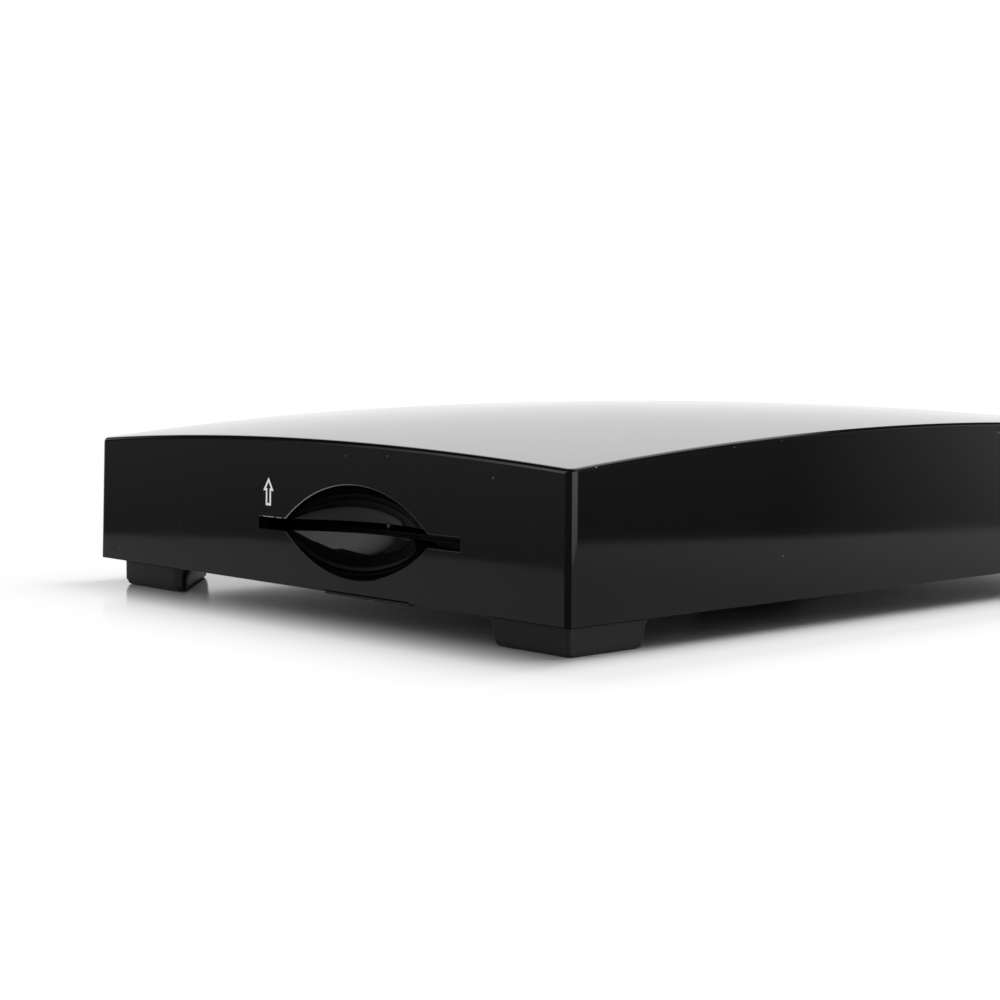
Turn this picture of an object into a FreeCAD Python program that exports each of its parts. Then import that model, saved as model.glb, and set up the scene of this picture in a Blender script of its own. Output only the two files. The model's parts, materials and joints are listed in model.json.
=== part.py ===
import FreeCAD
import Part
import math
import os

# Satellite television receiver: a moulded cover with a crowned roof over a base tray with corner
# feet, a steel rear panel, and the boards, sockets and buttons between them. Millimetres.
# While the parts are made, x runs right from the left wall, y back from the front wall and z up
# from the table. place() then moves each one so that the origin lies midway under the whole.

# Housing, outside
WIDTH = 194.1
DEPTH = 137.3
FOOT_HEIGHT = 5.0
CORNER_HEIGHT = 24.3
FRONT_RISE = 5.0
SIDE_RISE = 2.35
LEAN = math.tan(math.radians(1.06))
WALL = 2.0
CORNER_ROUND = 1.2
TOP_EDGE_BREAK = 0.35
SEAM = 0.3
REAR_REACH = 9.0
RIB_SPACING = 42.0
RIB_THICKNESS = 1.2
RIB_DEPTH = 2.4
RIB_START = 22.0
RIB_END = DEPTH - 12
ROOF_TOP = FOOT_HEIGHT + CORNER_HEIGHT + SIDE_RISE + FRONT_RISE
BEYOND = 6.0
FEW_SIDES = 12
MORE_SIDES = 24

# Card slot with its finger scoop, in the left wall
CARD_WIDTH = 53.98
SLOT_WIDTH = CARD_WIDTH + 2.0
SLOT_HEIGHT = 2.1
SLOT_Y = 53.85
SLOT_Z = FOOT_HEIGHT + 10.9
SCOOP_DEPTH = 8.15
SCOOP_OUTLINE_RADIUS = 31.2
SCOOP_WALL = 1.2
SCOOP_CONES = 8
SLOT_STEP = 4.0

# Base tray and its feet
TRAY_DROP = 0.4
TRAY_FLOOR = 1.6
TRAY_BOTTOM = FOOT_HEIGHT - TRAY_DROP
FLOOR_TOP = TRAY_BOTTOM + TRAY_FLOOR
TRAY_INSET = WALL + SEAM
RIM_TOP = FLOOR_TOP + 3.4
RIM_THICKNESS = 1.4
TONGUE_START = 38.6
TONGUE_END = 62.3
FOOT_INSET = 1.3
FOOT_REAR_INSET = 7.3
FOOT_FRONT_LEG = 17.2
FOOT_SIDE_LEG = 18.4
FOOT_FLARE = 0.5
FOOT_HEAD = 0.6
FOOT_TAPER = 0.6
FOOT_SOLE_BREAK = 0.8
FOOT_CORNER_BREAK = 0.5
FOOT_SEAM = 0.25
PEG_SIDE = 3.0
PEG_PLACE = 5.8
VENT_X = [WIDTH / 2 - 22, WIDTH / 2 + 34]
VENT_FIRST_Y = 46.0
VENT_PITCH = 7.0
VENT_COUNT = 7
VENT_WIDTH = 38.0
VENT_GAP = 2.4

# Case screws, in wells of the tray and bosses of the cover
SCREW_X = 14.0
SCREW_FRONT_Y = 18.5
SCREW_REAR_Y = 112.0
WELL_SIDE = 9.0
WELL_TOP = 9.6
BOSS_RADIUS = 3.5
SCREW_SHANK = 1.3
SCREW_HEAD = 2.7
HEAD_DEPTH = 3.0

# Main board
BOARD_THICKNESS = 1.6
BOARD_TOP = 13.0
BOARD_BOTTOM = BOARD_TOP - BOARD_THICKNESS
BOARD_LEFT = 12.0
BOARD_RIGHT = 186.0
BOARD_FRONT = 23.0
BOARD_REAR = 132.3
STANDOFF_RADIUS = 3.0
BOARD_SCREWS = [(68.0, 27.0), (180.0, 27.0), (30.0, 100.0), (135.0, 106.0)]

# Rear panel and the rear frame of the cover
PANEL_FRONT = 133.7
PANEL_THICKNESS = 1.0
PANEL_BACK = PANEL_FRONT + PANEL_THICKNESS
PANEL_INSET = 5.5
REAR_FRAME = 9.0
PANEL_CLEARANCE = 0.4

# Sockets on the rear, by the middle of each
SOCKET_REAR = 136.2
SHEET = 0.4
TUNER_LEFT = 141.0
TUNER_RIGHT = 173.0
TUNER_FRONT = 92.0
TUNER_REAR = 131.5
TUNER_TOP = 25.4
LNB_Z = 19.4
LNB_IN_X = 165.0
LNB_OUT_X = 149.0
BARREL_RADIUS = 4.7
BARREL_ROOT_RADIUS = 5.0
BARREL_ROOT_END = 137.2
NUT_LENGTH = 2.4
AV_X = [129.5, 116.5, 103.5]
AV_Z = 19.2
AV_SHELL_RADIUS = 4.15
AV_REACH = 5.0
AV_BLOCK_REAR = 133.3
INSULATOR_RADIUS = 3.5
INSULATOR_LENGTH = 6.0
HDMI_X = 84.0
HDMI_WIDTH = 15.0
HDMI_HEIGHT = 5.6
ETHERNET_X = 64.0
ETHERNET_WIDTH = 16.0
ETHERNET_HEIGHT = 13.2
ETHERNET_DEPTH = 20.0
USB_X = 44.5
USB_WIDTH = 13.2
USB_HEIGHT = 5.9
USB_DEPTH = 14.0
DATA_X = 32.5
DATA_Z = 17.0
DATA_NOSE_RADIUS = 3.0
DATA_BORE_RADIUS = 1.8
DATA_BORE_DEPTH = 12.0
DC_X = 21.5
DC_WIDTH = 9.0
DC_HEIGHT = 10.8
DC_HOLE_RADIUS = 3.1
DC_PIN_RADIUS = 1.05

# Card reader behind the slot, and what else stands on the main board
READER_LEFT = 10.4
READER_RIGHT = 60.0
READER_FRONT = SLOT_Y - 31.0
READER_REAR = SLOT_Y + 31.0
READER_TOP = SLOT_Z + 2.2
CHIP_X = 104.0
CHIP_Y = 72.0
CHIP_SIDE = 23.0
CHIP_HEIGHT = 2.0
SINK_SIDE = 30.0
SINK_HEIGHT = 9.0
LARGE_CAPACITOR = (4.0, 11.5)
SMALL_CAPACITOR = (3.15, 10.0)
LARGE_CAPACITOR_PLACES = [(152.0, 40.0), (164.0, 40.0), (38.0, 112.0)]
SMALL_CAPACITOR_PLACES = [(176.0, 44.0), (82.0, 105.0)]
HEADER_X = 134.0
HEADER_WIDTH = 16.0
HEADER_Z = 17.0
MAIN_HEADER_Y = 27.0
RIBBON_WIDTH = 13.0
RIBBON_THICKNESS = 0.3
RIBBON_BENDS = 6

# Front: display window and buttons, in the right half of the front wall
DISPLAY_BOARD_FRONT = 10.9
DISPLAY_BOARD_LEFT = 109.0
DISPLAY_BOARD_RIGHT = 189.6
DISPLAY_BOARD_BOTTOM = 8.0
DISPLAY_BOARD_TOP = 26.0
WINDOW_LEFT = 119.0
WINDOW_RIGHT = 157.0
WINDOW_BOTTOM = 11.8
WINDOW_TOP = 23.8
WINDOW_LIP = 1.2
DIGITS_LEFT = 124.0
DIGITS_RIGHT = 150.0
BUTTON_X = [165.0, 174.5, 184.0]
BUTTON_Z = 17.8
BUTTON_WIDTH = 7.6
BUTTON_HEIGHT = 4.0
BUTTON_PLAY = 0.2
BUTTON_LIP = 0.75
BUTTON_PROUD = 0.9
BUTTON_TRAVEL = 0.4
SWITCH_SIDE = 6.0
SWITCH_BODY = 3.4
PLUNGER_SIDE = 3.0
PLUNGER_OUT = 1.5
PLUNGER_IN = 1.6
DISPLAY_POSTS = [(113.5, 21.5), (187.2, 23.6)]
POST_SIDE = 4.0
STAKE_SIDE = 2.0
STAKE_HEAD = 3.2

FORWARD = FreeCAD.Vector(0, -1, 0)
BACK = FreeCAD.Vector(0, 1, 0)
UP = FreeCAD.Vector(0, 0, 1)
RIGHT = FreeCAD.Vector(1, 0, 0)


def vec(x, y, z):
    return FreeCAD.Vector(x, y, z)


def block(x0, x1, y0, y1, z0, z1):
    """Box between two opposite corners."""
    return Part.makeBox(x1 - x0, y1 - y0, z1 - z0, vec(x0, y0, z0))


def rod(radius, start, direction, length):
    return Part.makeCylinder(radius, length, start, direction)


def many_sided_bar(radius, start, direction, length, sides=FEW_SIDES):
    """Bar with many equal sides, for round things that repeat and that nothing runs on."""
    across = vec(direction.y, direction.z, direction.x)
    other = direction.cross(across)
    corners = []
    for step in range(sides + 1):
        angle = math.radians(360 / sides * (step + 0.5))
        corners.append(start + across * (radius * math.cos(angle)) + other * (radius * math.sin(angle)))
    return Part.Face(Part.makePolygon(corners)).extrude(direction * length)


def many_sided_tube(outer, inner, start, direction, length):
    bar = many_sided_bar(outer, start, direction, length, MORE_SIDES)
    return bar.cut(many_sided_bar(inner, start, direction, length, MORE_SIDES))


def square_bar(side, x, y, z, direction, length):
    """Square bar from its near face's middle, along y or z."""
    half = side / 2
    if direction.z:
        return block(x - half, x + half, y - half, y + half, z, z + length)
    return block(x - half, x + half, y, y + length, z - half, z + half)


def fuse_all(shapes):
    joined = shapes[0].multiFuse(shapes[1:]) if len(shapes) > 1 else shapes[0]
    return joined.removeSplitter()


def cut_all(shape, tools):
    return shape.cut(Part.makeCompound(tools)) if tools else shape


def rectangle(x0, x1, y0, y1, z):
    corners = [vec(x0, y0, z), vec(x1, y0, z), vec(x1, y1, z), vec(x0, y1, z), vec(x0, y0, z)]
    return Part.makePolygon(corners)


def stadium(width, height, middle, direction, length):
    """Bar along y with round ends left and right, its near face centred on middle."""
    half = (width - height) / 2
    sign = direction.y
    y0 = middle.y
    y1 = middle.y + sign * length
    core = block(middle.x - half, middle.x + half, min(y0, y1), max(y0, y1),
                 middle.z - height / 2, middle.z + height / 2)
    ends = [rod(height / 2, vec(middle.x + side * half, y0, middle.z), direction, length) for side in (-1, 1)]
    return fuse_all([core] + ends)


def hexagon_bar(across_flats, start, length):
    """Six-sided bar along y."""
    radius = across_flats / math.sqrt(3)
    corners = []
    for step in range(7):
        angle = math.radians(60 * step)
        corners.append(start + vec(radius * math.cos(angle), 0, radius * math.sin(angle)))
    return Part.Face(Part.makePolygon(corners)).extrude(BACK * length)


def arc_radius(chord, rise):
    return (chord * chord / 4 + rise * rise) / (2 * rise)


def upright_edges(shape, length):
    """Edges that run nearly straight up over more than length."""
    found = []
    for edge in shape.Edges:
        bounds = edge.BoundBox
        if bounds.ZLength > length and max(bounds.XLength, bounds.YLength) < length / 4:
            found.append(edge)
    return found


def rounded_bar(x0, x1, z0, z1, y0, y1, radius):
    """Bar along y whose four long edges are rounded."""
    bar = block(x0, x1, y0, y1, z0, z1)
    return bar.makeFillet(radius, [edge for edge in bar.Edges if edge.BoundBox.YLength > (y1 - y0) / 2])


# Cover ------------------------------------------------------------------------------------------

def leaning_block(inset, bottom, top):
    """Block whose four walls lean in, inset from the outer walls as measured at their foot."""
    outlines = []
    for z in (bottom, top):
        edge = inset + (z - FOOT_HEIGHT) * LEAN
        outlines.append(rectangle(edge, WIDTH - edge, edge, DEPTH - edge, z))
    return Part.makeLoft(outlines, True, True)


def crown(drop):
    """All the space below the roof's surface, which arches both ways, lowered by drop."""
    radius = arc_radius(WIDTH, FRONT_RISE) - drop
    reach = WIDTH / 2 + BEYOND
    sag = radius - math.sqrt(radius * radius - reach * reach)
    middle_x = WIDTH / 2
    middle_y = DEPTH / 2
    summit = vec(middle_x, middle_y, ROOF_TOP - drop)
    left = vec(middle_x - reach, middle_y, ROOF_TOP - drop - sag)
    right = vec(middle_x + reach, middle_y, ROOF_TOP - drop - sag)
    left_foot = vec(left.x, middle_y, -BEYOND)
    right_foot = vec(right.x, middle_y, -BEYOND)
    sides = Part.makePolygon([right, right_foot, left_foot, left])
    outline = Part.Wire([Part.Arc(left, summit, right).toShape()] + sides.Edges)
    side_radius = arc_radius(DEPTH, SIDE_RISE)
    hub = vec(0, middle_y, ROOF_TOP - side_radius)
    half_turn = math.degrees(math.asin((DEPTH / 2 + BEYOND) / side_radius))
    section = Part.Face(outline)
    section.rotate(hub, RIGHT, -half_turn)
    return section.revolve(hub, RIGHT, 2 * half_turn)


def scoop_spindle(thickness):
    """Spindle on the slot's line that hollows out the finger scoop: cones strung along an arc."""
    radius = SCOOP_OUTLINE_RADIUS + thickness
    deepest = SCOOP_DEPTH + thickness
    offset = radius - deepest
    half_length = math.sqrt(radius * radius - offset * offset)
    axis_x = (SLOT_Z - FOOT_HEIGHT) * LEAN
    near = vec(axis_x, SLOT_Y - half_length, SLOT_Z)
    far = vec(axis_x, SLOT_Y + half_length, SLOT_Z)
    crest = vec(axis_x, SLOT_Y, SLOT_Z + deepest)
    string = Part.makePolygon(Part.Arc(near, crest, far).toShape().discretize(SCOOP_CONES + 1))
    outline = Part.Wire(string.Edges + [Part.makeLine(far, near)])
    return Part.Face(outline).revolve(near, BACK, 360)


def outer_body():
    """Outside of the cover as one solid, corners rounded and top edges broken."""
    body = leaning_block(0, FOOT_HEIGHT, ROOF_TOP + 1).common(crown(0))
    body = body.makeFillet(CORNER_ROUND, upright_edges(body, CORNER_HEIGHT / 2))
    roof_edges = [edge for edge in body.Edges if edge.BoundBox.ZMin > FOOT_HEIGHT + CORNER_HEIGHT - 1.5]
    return body.makeChamfer(TOP_EDGE_BREAK, roof_edges)


def screw_places():
    return [(x, y) for x in (SCREW_X, WIDTH - SCREW_X) for y in (SCREW_FRONT_Y, SCREW_REAR_Y)]


def cover_bosses():
    """Four bosses that hang from the roof."""
    bosses = []
    for x, y in screw_places():
        boss = many_sided_bar(BOSS_RADIUS, vec(x, y, WELL_TOP + SEAM), UP, ROOF_TOP - WELL_TOP - SEAM)
        bosses.append(boss.common(crown(WALL / 2)))
    return bosses


def cover_boss_holes():
    return [many_sided_bar(SCREW_SHANK, vec(x, y, 0), UP, WELL_TOP + 13) for x, y in screw_places()]


def roof_ribs():
    """Three ribs under the roof, front to back."""
    ribs = []
    for x in (WIDTH / 2 - RIB_SPACING, WIDTH / 2, WIDTH / 2 + RIB_SPACING):
        strip = block(x - RIB_THICKNESS / 2, x + RIB_THICKNESS / 2, RIB_START, RIB_END, FOOT_HEIGHT, ROOF_TOP)
        ribs += strip.common(crown(WALL / 2)).cut(crown(WALL + RIB_DEPTH)).Solids
    return ribs


def display_posts():
    """Posts behind the front wall, each with a stake through the display board and a pressed head."""
    board_back = DISPLAY_BOARD_FRONT + BOARD_THICKNESS
    posts = []
    for x, z in DISPLAY_POSTS:
        post = square_bar(POST_SIDE, x, WALL / 2, z, BACK, DISPLAY_BOARD_FRONT - WALL / 2)
        stake = square_bar(STAKE_SIDE, x, WALL / 2, z, BACK, board_back + 0.4 - WALL / 2)
        posts.append(fuse_all([post, stake, square_bar(STAKE_HEAD, x, board_back, z, BACK, 0.8)]))
    return posts


def window_opening(grow):
    return rounded_bar(WINDOW_LEFT - grow, WINDOW_RIGHT + grow, WINDOW_BOTTOM - grow,
                       WINDOW_TOP + grow, -1, WALL + 2, 1.5 + grow)


def button_openings():
    width = BUTTON_WIDTH + 2 * BUTTON_PLAY
    height = BUTTON_HEIGHT + 2 * BUTTON_PLAY
    return [stadium(width, height, vec(x, -1, BUTTON_Z), BACK, WALL + 3) for x in BUTTON_X]


def rear_opening():
    """Arched opening of the rear frame, open at the bottom."""
    gap = block(REAR_FRAME, WIDTH - REAR_FRAME, DEPTH - 2 * WALL, DEPTH + 1, 0, ROOF_TOP)
    return gap.common(crown(WALL + 1.6))


def cover():
    outer = outer_body()
    cavity = leaning_block(WALL, FOOT_HEIGHT - 1, ROOF_TOP).common(crown(WALL))
    inside_wall = block(WALL / 2, 2 * SCOOP_DEPTH, 0, DEPTH, 0, ROOF_TOP)
    scoop_back = scoop_spindle(SCOOP_WALL).common(inside_wall)
    inner_parts = cover_bosses() + roof_ribs() + display_posts()
    shell = fuse_all([outer.cut(cavity), scoop_back] + inner_parts)
    slot = block(-1, SCOOP_DEPTH + SLOT_STEP, SLOT_Y - SLOT_WIDTH / 2, SLOT_Y + SLOT_WIDTH / 2,
                 SLOT_Z - SLOT_HEIGHT / 2, SLOT_Z + SLOT_HEIGHT / 2)
    notches = [
        block(-1, WALL + 1, TONGUE_START, TONGUE_END, 0, FOOT_HEIGHT + SEAM),
        block(WIDTH - WALL - 1, WIDTH + 1, TONGUE_START, TONGUE_END, 0, FOOT_HEIGHT + SEAM),
    ]
    openings = [scoop_spindle(0), slot, window_opening(0), rear_opening()]
    openings += notches + button_openings() + cover_boss_holes()
    return cut_all(shell, openings)


def display_window():
    """Smoked lens: a plate in the opening and a wider flange behind the wall."""
    play = 0.1
    back = WALL + 1.1
    lens = rounded_bar(WINDOW_LEFT + play, WINDOW_RIGHT - play, WINDOW_BOTTOM + play,
                       WINDOW_TOP - play, 0.35, back, 1.4)
    flange = block(WINDOW_LEFT - WINDOW_LIP, WINDOW_RIGHT + WINDOW_LIP, WALL + 0.45, back,
                   WINDOW_BOTTOM - WINDOW_LIP, WINDOW_TOP + WINDOW_LIP)
    return fuse_all([lens, flange])


# Base tray --------------------------------------------------------------------------------------

def foot_outline(front_leg, side_leg, inset, z):
    """Right-angled triangle with its square corner near the origin and its legs along x and y."""
    corners = [vec(inset, inset, z), vec(front_leg, inset, z), vec(inset, side_leg, z), vec(inset, inset, z)]
    return Part.makePolygon(corners)


def foot():
    """Corner foot at the origin: a tapered three-sided block that flares at its head."""
    top = FOOT_HEIGHT - FOOT_SEAM
    head_bottom = top - FOOT_HEAD
    levels = [
        (-FOOT_TAPER - FOOT_SOLE_BREAK, FOOT_TAPER + FOOT_SOLE_BREAK, 0),
        (-FOOT_TAPER, FOOT_TAPER, FOOT_SOLE_BREAK),
        (0, 0, head_bottom - FOOT_FLARE),
        (FOOT_FLARE, 0, head_bottom),
        (FOOT_FLARE, 0, top),
    ]
    outlines = [foot_outline(FOOT_FRONT_LEG + grow, FOOT_SIDE_LEG + grow, inset, z) for grow, inset, z in levels]
    layers = [Part.makeLoft([low, high], True, True) for low, high in zip(outlines, outlines[1:])]
    whole = fuse_all(layers)
    corner = [edge for edge in whole.Edges
              if edge.BoundBox.ZLength > 0.1 and max(edge.BoundBox.XMax, edge.BoundBox.YMax) < FOOT_HEAD * 3]
    return whole.makeChamfer(FOOT_CORNER_BREAK, corner)


def foot_corners():
    """Corners of the four feet, with the way that each foot points along x and y."""
    rear = DEPTH - FOOT_REAR_INSET
    return [(FOOT_INSET, FOOT_INSET, 1, 1), (WIDTH - FOOT_INSET, FOOT_INSET, -1, 1),
            (FOOT_INSET, rear, 1, -1), (WIDTH - FOOT_INSET, rear, -1, -1)]


def feet():
    """Four feet, each with its square corner under a corner of the housing and a peg up into the tray."""
    inside = TRAY_INSET - FOOT_SEAM
    tray_space = block(inside, WIDTH - inside, inside, DEPTH, TRAY_BOTTOM, FOOT_HEIGHT)
    placed = []
    for x, y, along_x, along_y in foot_corners():
        one = foot()
        if along_x < 0:
            one = one.mirror(vec(0, 0, 0), RIGHT)
        if along_y < 0:
            one = one.mirror(vec(0, 0, 0), BACK)
        one.translate(vec(x, y, 0))
        peg = square_bar(PEG_SIDE, x + along_x * PEG_PLACE, y + along_y * PEG_PLACE, TRAY_BOTTOM - FOOT_HEAD, UP,
                         FOOT_HEAD + TRAY_FLOOR)
        placed.append(fuse_all([one.cut(tray_space), peg]))
    return Part.makeCompound(placed)


def peg_holes():
    """Square holes in the tray's floor for the pegs of the feet."""
    return [square_bar(PEG_SIDE + 0.1, x + along_x * PEG_PLACE, y + along_y * PEG_PLACE, 0, UP, FLOOR_TOP + 1)
            for x, y, along_x, along_y in foot_corners()]


def tray_rim():
    """Upright rim just inside the walls, open at the card slot and at the rear panel."""
    outside = leaning_block(TRAY_INSET, TRAY_BOTTOM, RIM_TOP)
    inside = leaning_block(TRAY_INSET + RIM_THICKNESS, TRAY_BOTTOM - 1, RIM_TOP + 1)
    rim = outside.cut(inside)
    scoop_gap = block(0, 12, SLOT_Y - 27, SLOT_Y + 27, FLOOR_TOP, RIM_TOP + 1)
    rear_gap = block(REAR_FRAME - 5, WIDTH - REAR_FRAME + 5, PANEL_FRONT - 1, DEPTH, FLOOR_TOP, RIM_TOP + 1)
    return rim.cut(scoop_gap).cut(rear_gap)


def tray_floor():
    plate = leaning_block(TRAY_INSET, TRAY_BOTTOM, FLOOR_TOP)
    return plate.makeFillet(1.0, upright_edges(plate, TRAY_FLOOR / 2))


def tray_sill():
    """Bar at the rear that closes the rear frame of the cover from below."""
    sides = REAR_FRAME + SEAM
    sill = block(sides, WIDTH - sides, PANEL_BACK + SEAM, DEPTH - 0.3, TRAY_BOTTOM, FLOOR_TOP + 1.6)
    step = block(sides, WIDTH - sides, PANEL_FRONT - 2.4, PANEL_FRONT - 1, TRAY_BOTTOM, FLOOR_TOP + 1.6)
    return [sill, step]


def tray_tongues():
    """Thin tongues that show under the notches in the side walls."""
    start = TONGUE_START + 0.25
    end = TONGUE_END - 0.25
    left = block(0.25, TRAY_INSET + 1, start, end, TRAY_BOTTOM, FOOT_HEIGHT)
    right = block(WIDTH - TRAY_INSET - 1, WIDTH - 0.25, start, end, TRAY_BOTTOM, FOOT_HEIGHT)
    return [left, right]


def standoffs():
    return [many_sided_bar(STANDOFF_RADIUS, vec(x, y, TRAY_BOTTOM), UP, BOARD_BOTTOM - TRAY_BOTTOM)
            for x, y in BOARD_SCREWS]


def floor_vents():
    """Two banks of slots under the warm parts of the board."""
    slots = []
    for x in VENT_X:
        for row in range(VENT_COUNT):
            y = VENT_FIRST_Y + VENT_PITCH * row
            slots.append(block(x - VENT_WIDTH / 2, x + VENT_WIDTH / 2, y - VENT_GAP / 2, y + VENT_GAP / 2,
                               0, FLOOR_TOP + 1))
    return slots


def base_tray():
    wells = [square_bar(WELL_SIDE, x, y, TRAY_BOTTOM, UP, WELL_TOP - TRAY_BOTTOM) for x, y in screw_places()]
    solid = fuse_all([tray_floor(), tray_rim()] + tray_sill() + tray_tongues() + wells + standoffs())
    holes = []
    for x, y in screw_places():
        holes.append(many_sided_bar(SCREW_SHANK + 0.3, vec(x, y, 0), UP, WELL_TOP + 1))
        holes.append(many_sided_bar(SCREW_HEAD + 0.5, vec(x, y, 0), UP, TRAY_BOTTOM + HEAD_DEPTH, MORE_SIDES))
    holes += [many_sided_bar(SCREW_SHANK, vec(x, y, FLOOR_TOP), UP, BOARD_BOTTOM) for x, y in BOARD_SCREWS]
    return cut_all(solid, holes + peg_holes() + floor_vents())


# Rear panel -------------------------------------------------------------------------------------

def panel_hole(x0, x1, z0, z1):
    """Square-cornered hole around a socket, with clearance all round."""
    return block(x0 - PANEL_CLEARANCE, x1 + PANEL_CLEARANCE, PANEL_FRONT - 1, PANEL_BACK + 1,
                 z0 - PANEL_CLEARANCE, z1 + PANEL_CLEARANCE)


def panel_round_hole(x, z, radius):
    return rod(radius + PANEL_CLEARANCE / 2, vec(x, PANEL_FRONT - 1, z), BACK, PANEL_THICKNESS + 2)


def rear_panel():
    """Steel plate with an arched top edge and a hole for each socket."""
    plate = block(PANEL_INSET, WIDTH - PANEL_INSET, PANEL_FRONT, PANEL_BACK, FLOOR_TOP + 0.1, ROOF_TOP)
    plate = plate.common(crown(WALL + 0.4))
    holes = [panel_round_hole(x, LNB_Z, BARREL_ROOT_RADIUS) for x in (LNB_IN_X, LNB_OUT_X)]
    holes += [many_sided_bar(AV_SHELL_RADIUS + PANEL_CLEARANCE, vec(x, PANEL_FRONT - 1, AV_Z), BACK,
                             PANEL_THICKNESS + 2, MORE_SIDES) for x in AV_X]
    holes.append(panel_round_hole(DATA_X, DATA_Z, DATA_NOSE_RADIUS))
    holes.append(panel_hole(HDMI_X - HDMI_WIDTH / 2, HDMI_X + HDMI_WIDTH / 2, BOARD_TOP, BOARD_TOP + HDMI_HEIGHT))
    holes.append(panel_hole(ETHERNET_X - ETHERNET_WIDTH / 2, ETHERNET_X + ETHERNET_WIDTH / 2,
                            BOARD_TOP, BOARD_TOP + ETHERNET_HEIGHT))
    holes.append(panel_hole(USB_X - USB_WIDTH / 2, USB_X + USB_WIDTH / 2, BOARD_TOP, BOARD_TOP + USB_HEIGHT))
    holes.append(panel_hole(DC_X - DC_WIDTH / 2, DC_X + DC_WIDTH / 2, BOARD_TOP, BOARD_TOP + DC_HEIGHT))
    return cut_all(plate, holes)


# Tuner and aerial connectors --------------------------------------------------------------------

def tuner_can():
    """Folded steel frame of the tuner, closed by its lid."""
    body = block(TUNER_LEFT, TUNER_RIGHT, TUNER_FRONT, TUNER_REAR, BOARD_TOP + 0.2, TUNER_TOP)
    fins = [block(x, x + 0.8, TUNER_FRONT + 5, TUNER_FRONT + 8, BOARD_TOP, BOARD_TOP + 0.3)
            for x in (TUNER_LEFT, TUNER_RIGHT - 0.8)]
    return fuse_all([body] + fins)


def tuner_lid():
    """Sprung lid: a plate with a skirt cut into fingers."""
    sheet = 0.3
    skirt = 4.0
    outer = block(TUNER_LEFT - sheet, TUNER_RIGHT + sheet, TUNER_FRONT - sheet, TUNER_REAR,
                  TUNER_TOP - skirt, TUNER_TOP + sheet)
    inner = block(TUNER_LEFT, TUNER_RIGHT, TUNER_FRONT, TUNER_REAR + 1, TUNER_TOP - skirt - 1, TUNER_TOP)
    gaps = []
    for step in range(1, 6):
        y = TUNER_FRONT + step * (TUNER_REAR - TUNER_FRONT) / 6
        gaps.append(block(TUNER_LEFT - 1, TUNER_RIGHT + 1, y - 0.5, y + 0.5, 0, TUNER_TOP - 1))
    return cut_all(outer.cut(inner), gaps)


def aerial_connector(x):
    """Screw-on aerial socket: a hexagon seat on the tuner, a root for the nut and a barrel for the plug."""
    end = DEPTH + REAR_REACH
    seat = hexagon_bar(11.0, vec(x, TUNER_REAR, LNB_Z), 1.4)
    root = rod(BARREL_ROOT_RADIUS, vec(x, TUNER_REAR, LNB_Z), BACK, BARREL_ROOT_END - TUNER_REAR)
    barrel = rod(BARREL_RADIUS, vec(x, TUNER_REAR, LNB_Z), BACK, end - TUNER_REAR)
    bore = rod(INSULATOR_RADIUS + 0.02, vec(x, end - INSULATOR_LENGTH - 0.6, LNB_Z), BACK, INSULATOR_LENGTH + 1)
    return fuse_all([seat, root, barrel]).cut(bore)


def connector_insulators():
    """White plug in the mouth of each aerial socket, with the square contact for the centre wire."""
    start = DEPTH + REAR_REACH - INSULATOR_LENGTH - 0.6
    plugs = []
    for x in (LNB_IN_X, LNB_OUT_X):
        plug = many_sided_bar(INSULATOR_RADIUS, vec(x, start, LNB_Z), BACK, INSULATOR_LENGTH, MORE_SIDES)
        plugs.append(plug.cut(square_bar(1.2, x, start + 1.5, LNB_Z, BACK, INSULATOR_LENGTH)))
    return Part.makeCompound(plugs)


def connector_nuts():
    """Hexagon nuts that hold the aerial sockets to the rear panel."""
    nuts = []
    for x in (LNB_IN_X, LNB_OUT_X):
        nut = hexagon_bar(12.4, vec(x, PANEL_BACK, LNB_Z), NUT_LENGTH)
        nuts.append(nut.cut(rod(BARREL_ROOT_RADIUS + 0.05, vec(x, PANEL_BACK - 1, LNB_Z), BACK, NUT_LENGTH + 2)))
    return Part.makeCompound(nuts)


# Sockets ----------------------------------------------------------------------------------------

def av_socket_block():
    """Moulded block that carries the three audio and video sockets."""
    side = 7.0
    body = block(AV_X[-1] - side, AV_X[0] + side, AV_BLOCK_REAR - 12, AV_BLOCK_REAR, BOARD_TOP, AV_Z + 6)
    edges = [edge for edge in body.Edges if edge.BoundBox.YLength > 10 and edge.BoundBox.ZMin > AV_Z]
    body = body.makeFillet(1.0, edges)
    reliefs = [block(x + 6.1, x + 6.9, AV_BLOCK_REAR - 8, AV_BLOCK_REAR + 1, BOARD_TOP - 1, AV_Z + 7) for x in AV_X[1:]]
    return cut_all(body, reliefs)


def av_socket_shells():
    """Plated barrels of the three sockets."""
    length = DEPTH + AV_REACH - AV_BLOCK_REAR
    shells = []
    for x in AV_X:
        shell = many_sided_tube(AV_SHELL_RADIUS, AV_SHELL_RADIUS - 0.5, vec(x, AV_BLOCK_REAR, AV_Z), BACK, length)
        shells.append(shell)
    return Part.makeCompound(shells)


def av_insert(x):
    """Coloured core of one socket, with the hole for the plug's pin."""
    return many_sided_tube(AV_SHELL_RADIUS - 0.53, 1.65, vec(x, AV_BLOCK_REAR, AV_Z), BACK,
                           DEPTH + AV_REACH - 0.6 - AV_BLOCK_REAR)


def hdmi_outline(width, height, bottom, y):
    """Outline with the two lower corners cut off."""
    half = width / 2
    corner = 1.9
    points = [(-half, corner), (-half, height), (half, height), (half, corner),
              (half - corner, 0), (corner - half, 0), (-half, corner)]
    return Part.makePolygon([vec(HDMI_X + x, y, bottom + z) for x, z in points])


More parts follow.
